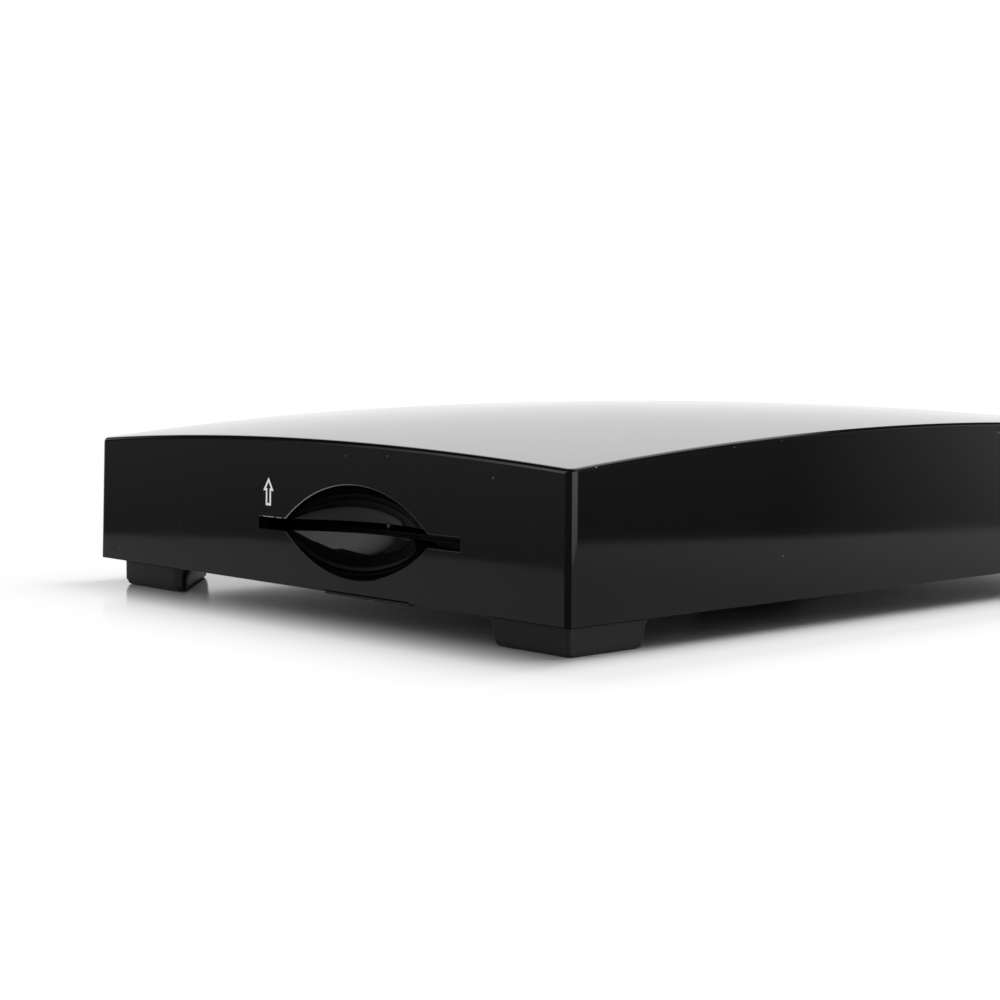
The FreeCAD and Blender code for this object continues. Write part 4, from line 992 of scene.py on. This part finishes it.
def new_finish(name, sockets):
    """Material with one shader. Returns it with its tree, its shader and Object coordinates."""
    made = bpy.data.materials.new(name)
    tree = fresh_tree(made)
    shader = node(tree, "ShaderNodeBsdfPrincipled", sockets)
    node(tree, "ShaderNodeOutputMaterial", {"Surface": shader.outputs["BSDF"]})
    place = node(tree, "ShaderNodeTexCoord").outputs["Object"]
    return made, tree, shader, place


WHOLE = (0, 1)  # span of a share
NOISE_SPAN = (0.3, 0.7)  # span that soft noise keeps to, nearly everywhere

# Painted highlight on the edge: a pale line painted on the rim over the scoop, and a broken one
# over the slot's rear end
SCOOP_GLINT_OFFSET = 0.14 * MM
SCOOP_GLINT_HALF_WIDTH = 0.07 * MM
SCOOP_GLINT_SPAN = (-10 * MM, 19 * MM)
SCOOP_GLINT_SHARES = (0.04, 0.75)
SLOT_GLINT_OFFSET = 0.1 * MM
SLOT_GLINT_HALF_WIDTH = 0.09 * MM
SLOT_GLINT_MIDDLE = 24 * MM
SLOT_GLINT_HALF_LENGTH = 4 * MM
SLOT_GLINT_BREAKS = 1.6 * MM
SLOT_GLINT_LIMIT = 0.47
GLINT_DEPTH = 0.9 * MM


def painted_rim_glint(tree, place):
    """Where a pale highlight is painted on the edge over the scoop and the slot's rear end."""
    def within(value, middle, limit):
        """1 where the value is nearer to the middle than the limit, and 0 elsewhere."""
        off = formula(tree, "ABSOLUTE", formula(tree, "SUBTRACT", value, middle))
        return formula(tree, "LESS_THAN", off, limit)

    parts = axes(tree, place)
    along = formula(tree, "SUBTRACT", parts["Y"], SLOT_Y)
    above = formula(tree, "SUBTRACT", parts["Z"], SLOT_Z)
    lift = formula(tree, "ADD", above, SCOOP_OUTLINE_RADIUS - SCOOP_DEPTH)
    squares = [formula(tree, "MULTIPLY", side, side) for side in (along, lift)]
    reach = formula(tree, "SQRT", formula(tree, "ADD", *squares))
    slot_edge = SLOT_HALF_HEIGHT + SLOT_GLINT_OFFSET
    on_scoop = formula(tree, "MULTIPLY",
                       within(reach, SCOOP_OUTLINE_RADIUS + SCOOP_GLINT_OFFSET, SCOOP_GLINT_HALF_WIDTH),
                       formula(tree, "GREATER_THAN", above, slot_edge))
    fading = graded(tree, along, SCOOP_GLINT_SPAN, SCOOP_GLINT_SHARES,
                    interpolation_type="SMOOTHSTEP")
    on_slot = formula(tree, "MULTIPLY", within(above, slot_edge, SLOT_GLINT_HALF_WIDTH),
                      within(along, SLOT_GLINT_MIDDLE, SLOT_GLINT_HALF_LENGTH))
    kept = formula(tree, "GREATER_THAN", noise(tree, place, SLOT_GLINT_BREAKS), SLOT_GLINT_LIMIT)
    glint_share = formula(tree, "MAXIMUM", formula(tree, "MULTIPLY", on_scoop, fading),
                     formula(tree, "MULTIPLY", on_slot, kept))
    on_wall = formula(tree, "LESS_THAN", parts["X"], COVER_LOW.x + GLINT_DEPTH)
    return formula(tree, "MULTIPLY", glint_share, on_wall)


def gloss_black_abs():
    """Polished ABS: near black, mirror smooth, with a faint haze, dust and a painted highlight on
    the edge over the scoop and slot.
    """
    name = "gloss_black_abs_moulding"
    if name in bpy.data.materials:
        return bpy.data.materials[name]
    made, tree, shader, place = new_finish(name, {"IOR": 1.42})
    black = tuple(settings().cover.gloss_black) + (1,)
    haze = noise(tree, place, 30 * MM, 3)
    dust = dots(tree, place, 7 * MM, (0.012, 0.026))
    dusty = tinted(tree, dust, black, linear("8c8a86"))
    feed(tree, shader, {
        # Base colour: dust, and a pale painted highlight along the edge over the scoop and the slot
        "Base Color": tinted(tree, painted_rim_glint(tree, place), dusty, linear("c4c3c0")),
        "Roughness": formula(tree, "MAXIMUM", graded(tree, haze, NOISE_SPAN, (0.05, 0.09)), dust)})
    return made


def grained(name, colour, roughness, grain, depth, sockets=None):
    """Moulded or pressed finish: a fine grain, and a slight drift of colour."""
    if name in bpy.data.materials:
        return bpy.data.materials[name]
    made, tree, shader, place = new_finish(name, sockets or {})
    fine = noise(tree, place, grain)
    drift = noise(tree, place, 18 * MM)
    feed(tree, shader, {
        "Base Color": tinted(tree, drift, scaled(colour, 0.86), scaled(colour, 1.12)),
        "Roughness": graded(tree, fine, NOISE_SPAN, (roughness * 0.88, min(1, roughness * 1.12))),
        "Normal": bumped(tree, fine, depth)})
    return made


def satin_black_abs():
    """Spark-eroded ABS moulding: dark grey-black with an even satin grain."""
    return grained("satin_black_abs_moulding", tuple(settings().feet.satin_black), 0.42,
                   0.35 * MM, 0.006 * MM, {"IOR": 1.4})


def printed_ink():
    """Pad-printed ink: white, slightly matt and a little uneven, with a painted glow that lifts it
    above what its light gives.
    """
    # The emission is a painted glow, as if more light fell on the print
    return grained("printed_ink", tuple(settings().arrow.ink), 0.5, 0.2 * MM, 0.002 * MM,
                   {"Emission Color": linear("ffffff"), "Emission Strength": 0.2})


def smoked_acrylic():
    """Cast acrylic with a smoke tint, polished, with the display faintly behind it."""
    made, tree, shader, place = new_finish("smoked_acrylic_sheet", {
        "Base Color": linear("1a1518"), "IOR": 1.49, "Transmission Weight": 0.35})
    haze = noise(tree, place, 12 * MM)
    feed(tree, shader, {"Roughness": graded(tree, haze, WHOLE, (0.02, 0.05))})
    return made


def circuit_board():
    """Glass-epoxy board under green solder mask, with paler copper tracks and small holes."""
    made, tree, shader, place = new_finish("solder_mask_board", {"IOR": 1.55})
    tracks = node(tree, "ShaderNodeTexBrick", {
        "Vector": place, "Scale": 1, "Mortar Size": 0.18 * MM, "Mortar Smooth": 0.2,
        "Brick Width": 9 * MM, "Row Height": 1.3 * MM, "Color1": linear("0f3d22"),
        "Color2": linear("124527"), "Mortar": linear("2b6b3d")}).outputs
    holes = dots(tree, place, 4 * MM, (0.09, 0.11))
    feed(tree, shader, {
        "Base Color": tinted(tree, holes, tracks["Color"], linear("b9a76a")),
        "Roughness": graded(tree, tracks["Fac"], WHOLE, (0.32, 0.42)),
        "Normal": bumped(tree, tracks["Fac"], 0.03 * MM)})
    return made


def metal(name, colour, roughness, stretch):
    """Bare or plated metal: a fine drawn or rolled grain that runs one way."""
    made, tree, shader, place = new_finish(name, {"Metallic": 1.0})
    along = node(tree, "ShaderNodeMapping", {"Vector": place, "Scale": stretch})
    grain = noise(tree, along.outputs["Vector"], 0.6 * MM, 3)
    feed(tree, shader, {
        "Base Color": tinted(tree, grain, scaled(linear(colour), 0.93), linear(colour)),
        "Roughness": graded(tree, grain, NOISE_SPAN, (roughness * 0.8, roughness * 1.25))})
    return made


def ribbon_film():
    """Flat flexible cable: clear film over bright conductors a millimetre apart."""
    made, tree, shader, place = new_finish("ribbon_film", {"IOR": 1.57, "Roughness": 0.25})
    lines = node(tree, "ShaderNodeTexWave", {"Vector": place, "Scale": 0.314 / MM},
                 wave_type="BANDS", bands_direction="X", wave_profile="TRI")
    strip = graded(tree, lines.outputs["Fac"], (0.4, 0.5), WHOLE)
    feed(tree, shader, {"Base Color": tinted(tree, strip, linear("e6e4da"), linear("9d9c98"))})
    return made


def finishes():
    """Finish of each material slot of the record."""
    return {
        "gloss_black_abs": gloss_black_abs(),
        "satin_black_abs": satin_black_abs(),
        "smoked_acrylic": smoked_acrylic(),
        # Powder coat over sheet steel: matt black with a fine pebble
        "painted_steel": grained("powder_coated_steel", linear("212122"), 0.55, 0.45 * MM,
                                  0.015 * MM),
        "circuit_board": circuit_board(),
        # Glass-filled nylon: dull black with a faint flow grain
        "black_nylon": grained("black_nylon_moulding", linear("121212"), 0.5, 0.3 * MM,
                                0.004 * MM, {"Specular IOR Level": 0.2}),
        # Tinned sheet: bright, rolled one way, a little hazy
        "tinned_steel": metal("tinned_steel_sheet", "c4c5c6", 0.26, (0.15, 1, 1)),
        # Bright nickel: warm mirror on turned parts
        "nickel_plate": metal("nickel_plate", "cfc9bc", 0.14, (1, 0.2, 1)),
        # Thin gold on springy contacts
        "gold_contact": metal("gold_flash", "e0b358", 0.2, (1, 0.2, 1)),
        # Filled thermoplastic inserts: even colours with a fine mould grain
        "white_plastic": grained("white_moulding", linear("e4e3dd"), 0.42, 0.3 * MM, 0.003 * MM),
        "yellow_plastic": grained("yellow_moulding", linear("e3bd1b"), 0.42, 0.3 * MM, 0.003 * MM),
        "red_plastic": grained("red_moulding", linear("bd1f1c"), 0.42, 0.3 * MM, 0.003 * MM),
        # Chip packages: dark epoxy with a fine matt grain
        "epoxy_package": grained("epoxy_package", linear("232325"), 0.6, 0.15 * MM, 0.004 * MM),
        # Black anodised extrusion: dark metal with drawn lines
        "black_anodised": metal("black_anodised_aluminium", "3a3a3e", 0.4, (1, 0.1, 1)),
        # Shrunk sleeve: smooth dark blue vinyl
        "capacitor_sleeve": grained("vinyl_sleeve", linear("1c2746"), 0.3, 2.5 * MM, 0.01 * MM),
        # Sintered ferrite: dark grey and slightly pitted
        "ferrite": grained("sintered_ferrite", linear("3c3c3f"), 0.7, 0.2 * MM, 0.01 * MM),
        # Tinted clear epoxy of a lamp: smooth red
        "clear_epoxy": grained("tinted_epoxy", linear("8e1212"), 0.12, 1.5 * MM, 0.001 * MM),
        "ribbon_film": ribbon_film(),
        # Black zinc on steel screws
        "zinc_screw": metal("black_zinc_screw", "4c4c50", 0.32, (1, 1, 0.2)),
    }


class RECEIVER_OT_finishes(bpy.types.Operator):
    """Give every part of the receiver the finish of its material slot"""
    bl_idname = "receiver.finishes"
    bl_label = "Finishes"

    def execute(self, context):
        made = finishes()
        for part in frame["record"]["subparts"]:
            data = frame["nodes"][part["node"]].data
            data.materials.clear()
            data.materials.append(made[part["material_slot"]])
        return {"FINISHED"}


# Stage --------------------------------------------------------------------------------------

# Screens round the front and left of the receiver, which only its gloss shows. Each has its two
# ends from the housing's front left corner, its bottom and top, all in millimetres, and its tone
# at each end.
SCREENS = [
    ("left_rear_low", (-50, 265), (-98, 223), 0, 40, 0.2, 0.23),
    ("left_low", (-98, 223), (-114, 127), 0, 40, 0.23, 0.3),
    ("left_near_low", (-114, 127), (-124, 67), 0, 40, 0.3, 0.33),
    ("left_front_low", (-124, 67), (-150, -20), 0, 40, 0.15, 0.15),
    ("left_rear_middle", (-50, 265), (-98, 223), 40, 125, 0.03, 0.1),
    ("left_middle", (-98, 223), (-114, 127), 40, 175, 0.1, 1.5),
    ("left_near_middle", (-114, 127), (-124, 67), 40, 240, 1.5, 1.6),
    ("left_front_middle", (-124, 67), (-150, -20), 40, 260, 1.6, 1.2),
    ("left_rear_top", (-50, 265), (-98, 223), 125, 5000, 0.02, 0.02),
    ("left_top", (-98, 223), (-114, 127), 175, 5000, 0.02, 0.02),
    ("left_near_top", (-114, 127), (-124, 67), 240, 5000, 0.02, 0.02),
    ("left_front_top", (-124, 67), (-150, -20), 260, 5000, 0.02, 0.02),
    ("near_corner_left", (-34, 24), (-42, -10), 0, 300, 0.14, 0.14),
    ("near_corner_front", (-42, -10), (-27, -40), 0, 300, 0.14, 0.14),
    ("corner_card", (-170, -240), (117, -276), 0, 300, 2.2, 2.2),
    ("corner_side_card", (117, -276), (150, -205), 0, 300, 2.2, 2.2),
    ("right_near", (150, -205), (185, -177), 0, 170, 0.2, 0.18),
    ("right_middle", (185, -177), (230, -141), 0, 170, 0.18, 0.14),
    ("right_near_top", (150, -205), (185, -177), 170, 2000, 0.8, 0.65),
    ("right_middle_top", (185, -177), (230, -141), 170, 2000, 0.65, 0.02),
    ("right_far", (230, -141), (280, -120), 0, 170, 0.14, 0.41),
    ("right_end", (280, -120), (340, -96), 0, 170, 0.41, 0.95),
    ("right_far_top", (230, -141), (280, -120), 170, 2500, 0.02, 0.02),
    ("right_end_top", (280, -120), (340, -96), 170, 2500, 0.02, 0.02),
]
SCREEN_FOOT_SPAN = (0, 30 * MM)
SCREEN_FOOT_TONES = (0.6, 1)

# Shade that the paper keeps round the receiver: how far it reaches, by the gap to the housing,
# which counts for less at the ends and for more in front
SHADE_SPAN = (0, 29 * MM)
SHADE_TURN = (0, 14 * MM)
END_SCALES = (0.25, 0.75)
FRONT_SCALES = (2.2, 1)
# Painted reflection: what gloss shows of the paper turns, from the housing outwards, to an emitted
# tone that is darker towards the left
MIRROR_SPAN = (0, 20 * MM)
MIRROR_SHARES = (0, 0.85)
MIRROR_ACROSS = (0, 200 * MM)
MIRROR_TONES = (0.42, 0.78)

# Room that gloss shows, by the part of its direction that points up or to the right
WALL_RISE = (0.12, 0.4)
WALL_FOOT_TONE = 1.05
CEILING_RISE = (0.36, 0.46)
CEILING_TONES = (1.6, 0.03)
DARK_LEFT = (0.35, 0.2)
DARK_RIGHT = (0.735, 0.765)

KEY_PLACE = (0.72, -0.15, 1.05)
KEY_SIZE = 1.1
FLOOR_HALF_SIZE = 3


def stage_point(x, y, z):
    """Point given from the housing's front left corner, in millimetres, on the stage."""
    return Vector((COVER_LOW.x + x * MM, COVER_LOW.y + y * MM, z * MM))


def screen(name, start, end, bottom, top, first_tone, last_tone):
    """Upright screen that only gloss shows. Its tone runs from end to end, and is less below."""
    low = stage_point(*start, bottom)
    high = stage_point(*end, top)
    mesh = bmesh.new()
    corners = [low, Vector((high.x, high.y, low.z)), high, Vector((low.x, low.y, high.z))]
    bmesh.ops.contextual_create(mesh, geom=[mesh.verts.new(co) for co in corners])
    finish = bpy.data.materials.new(name + "_tone")
    tree = fresh_tree(finish)
    place = node(tree, "ShaderNodeTexCoord").outputs["Object"]
    along = Vector((high.x - low.x, high.y - low.y, 0))
    heading = along.normalized()
    from_low = heading.dot(low)
    sideways = graded(tree, vector_formula(tree, "DOT_PRODUCT", place, heading),
                      (from_low, from_low + along.length), (first_tone, last_tone))
    rise = graded(tree, axes(tree, place)["Z"], SCREEN_FOOT_SPAN, SCREEN_FOOT_TONES)
    light = node(tree, "ShaderNodeEmission", {
        "Strength": formula(tree, "MULTIPLY", sideways, rise)})
    node(tree, "ShaderNodeOutputMaterial", {"Surface": light.outputs["Emission"]})
    made = new_object(name, mesh, finish)
    made.visible_camera = False
    made.visible_diffuse = False
    made.visible_shadow = False
    made.visible_transmission = False


def softbox(name, place, size, radiance):
    """Square lamp aimed at the receiver. Neither the camera nor gloss shows it."""
    lamp = bpy.data.lights.new(name, "AREA")
    lamp.shape = "RECTANGLE"
    lamp.size = size
    lamp.size_y = size
    lamp.energy = radiance * math.pi * size * size
    made = bpy.data.objects.new(name, lamp)
    made.location = place
    made.rotation_euler = (-Vector(place)).to_track_quat("-Z", "Y").to_euler()
    made.visible_camera = False
    made.visible_glossy = False
    bpy.context.scene.collection.objects.link(made)


def paper_floor(stage):
    """Pale paper that keeps the shade round the receiver and turns to plain white further out."""
    made, tree, shader, place = new_finish("pale_paper", {
        "Base Color": tuple(stage.paper) + (1,), "Roughness": 0.13, "IOR": 1.45})
    centred = vector_formula(tree, "SUBTRACT", place, (MIDDLE.x, MIDDLE.y, 0))
    folded = vector_formula(tree, "ABSOLUTE", centred)
    beyond = vector_formula(tree, "SUBTRACT", folded, (HALF.x, HALF.y, 0))
    outside = vector_formula(tree, "MAXIMUM", beyond, (0, 0, 0))
    beside = axes(tree, outside)
    scale = node(tree, "ShaderNodeCombineXYZ", {
        "X": graded(tree, beside["X"], SHADE_TURN, END_SCALES),
        "Y": graded(tree, beside["Y"], SHADE_TURN, FRONT_SCALES), "Z": 1})
    counted = vector_formula(tree, "MULTIPLY", outside, scale.outputs["Vector"])
    gap = vector_formula(tree, "LENGTH", counted)
    shade = formula(tree, "POWER", graded(tree, gap, SHADE_SPAN, (1, 0)), 2)
    path = node(tree, "ShaderNodeLightPath").outputs
    seen = formula(tree, "MULTIPLY", formula(tree, "SUBTRACT", 1, shade), path["Is Camera Ray"])
    # For gloss, the paper away from the housing is a painted reflection: an emitted tone instead of
    # the lit paper
    mirrored = formula(tree, "MULTIPLY", path["Is Glossy Ray"],
                       graded(tree, gap, MIRROR_SPAN, MIRROR_SHARES))
    mirrored_tone = graded(tree, axes(tree, place)["X"], MIRROR_ACROSS, MIRROR_TONES)
    white = node(tree, "ShaderNodeEmission", {
        "Strength": between(tree, path["Is Glossy Ray"], 1.0, mirrored_tone)})
    mixed = node(tree, "ShaderNodeMixShader", {
        0: formula(tree, "MAXIMUM", seen, mirrored), 1: shader.outputs["BSDF"],
        2: white.outputs["Emission"]})
    output = next(item for item in tree.nodes if item.bl_idname == "ShaderNodeOutputMaterial")
    feed(tree, output, {"Surface": mixed.outputs["Shader"]})
    return made


def camera(stage):
    """Camera at its place, with its heading, fall and roll."""
    forward = Vector((math.cos(stage.fall) * math.sin(stage.turn),
                      math.cos(stage.fall) * math.cos(stage.turn), -math.sin(stage.fall)))
    level = Vector((math.cos(stage.turn), -math.sin(stage.turn), 0))
    upright = level.cross(forward)
    right = math.cos(stage.roll) * level + math.sin(stage.roll) * upright
    up = -math.sin(stage.roll) * level + math.cos(stage.roll) * upright
    turn = Matrix((right, up, -forward)).transposed().to_4x4()
    data = bpy.data.cameras.new("camera")
    data.lens = stage.lens
    data.sensor_width = 36
    data.clip_start = 0.01
    data.clip_end = 50
    made = bpy.data.objects.new("camera", data)
    made.matrix_world = Matrix.Translation(stage.place) @ turn
    bpy.context.scene.collection.objects.link(made)
    bpy.context.scene.camera = made


def world(stage):
    """White for the camera, a wall and ceiling for gloss, and plain light for the rest."""
    made = bpy.data.worlds.new("studio")
    tree = fresh_tree(made)
    path = node(tree, "ShaderNodeLightPath").outputs
    direction = axes(tree, node(tree, "ShaderNodeTexCoord").outputs["Generated"])
    seen = formula(tree, "MAXIMUM", path["Is Camera Ray"], path["Is Transmission Ray"])
    plain = graded(tree, seen, WHOLE, (stage.room_light, 1))
    wall = graded(tree, direction["Z"], WALL_RISE, (WALL_FOOT_TONE, stage.back_wall),
                  interpolation_type="SMOOTHSTEP")
    dark = formula(tree, "MAXIMUM", graded(tree, direction["X"], DARK_LEFT, WHOLE),
                   graded(tree, direction["X"], DARK_RIGHT, WHOLE))
    ceiling = graded(tree, dark, WHOLE, CEILING_TONES)
    upper = graded(tree, direction["Z"], CEILING_RISE, WHOLE)
    room = between(tree, upper, wall, ceiling)
    light = node(tree, "ShaderNodeBackground", {
        "Color": (1, 1, 1, 1), "Strength": between(tree, path["Is Glossy Ray"], plain, room)})
    node(tree, "ShaderNodeOutputWorld", {"Surface": light.outputs["Background"]})
    bpy.context.scene.world = made


class RECEIVER_OT_stage(bpy.types.Operator):
    """Set up the camera, the pale floor and the soft studio light"""
    bl_idname = "receiver.stage"
    bl_label = "Stage"

    def execute(self, context):
        stage = settings().stage
        context.scene.view_settings.view_transform = "Standard"
        camera(stage)
        world(stage)
        mesh = bmesh.new()
        bmesh.ops.create_grid(mesh, x_segments=2, y_segments=2, size=FLOOR_HALF_SIZE)
        floor = new_object("paper", mesh, paper_floor(stage))
        softbox("key_softbox", KEY_PLACE, KEY_SIZE, stage.key_light)
        for values in SCREENS:
            screen(*values)
        return {"FINISHED"}


# Panel --------------------------------------------------------------------------------------

OPERATORS = [RECEIVER_OT_finishes, RECEIVER_OT_cover, RECEIVER_OT_feet, RECEIVER_OT_arrow,
             RECEIVER_OT_ball, RECEIVER_OT_barrels, RECEIVER_OT_screws, RECEIVER_OT_stage]


class RECEIVER_PT_steps(bpy.types.Panel):
    """Steps that make the receiver, in their order"""
    bl_label = "Receiver"
    bl_idname = "RECEIVER_PT_steps"
    bl_space_type = "VIEW_3D"
    bl_region_type = "UI"
    bl_category = "Receiver"

    def draw(self, context):
        for step in OPERATORS:
            self.layout.operator(step.bl_idname)


CLASSES = [CoverSettings, FootSettings, PrintSettings, ThreadSettings, StageSettings,
           ReceiverSettings] + OPERATORS + [RECEIVER_PT_steps]


def register():
    """Register the classes, and give scenes the settings."""
    for item in CLASSES:
        bpy.utils.register_class(item)
    bpy.types.Scene.receiver = bpy.props.PointerProperty(
        type=ReceiverSettings, name="Receiver", description="Settings of the receiver")


def unregister():
    """Take the settings and the classes away."""
    del bpy.types.Scene.receiver
    for item in reversed(CLASSES):
        bpy.utils.unregister_class(item)


def main():
    """Make the receiver on its stage."""
    register()
    for step in OPERATORS:
        getattr(bpy.ops.receiver, step.bl_idname.split(".")[1])()


if __name__ == "__main__":
    main()
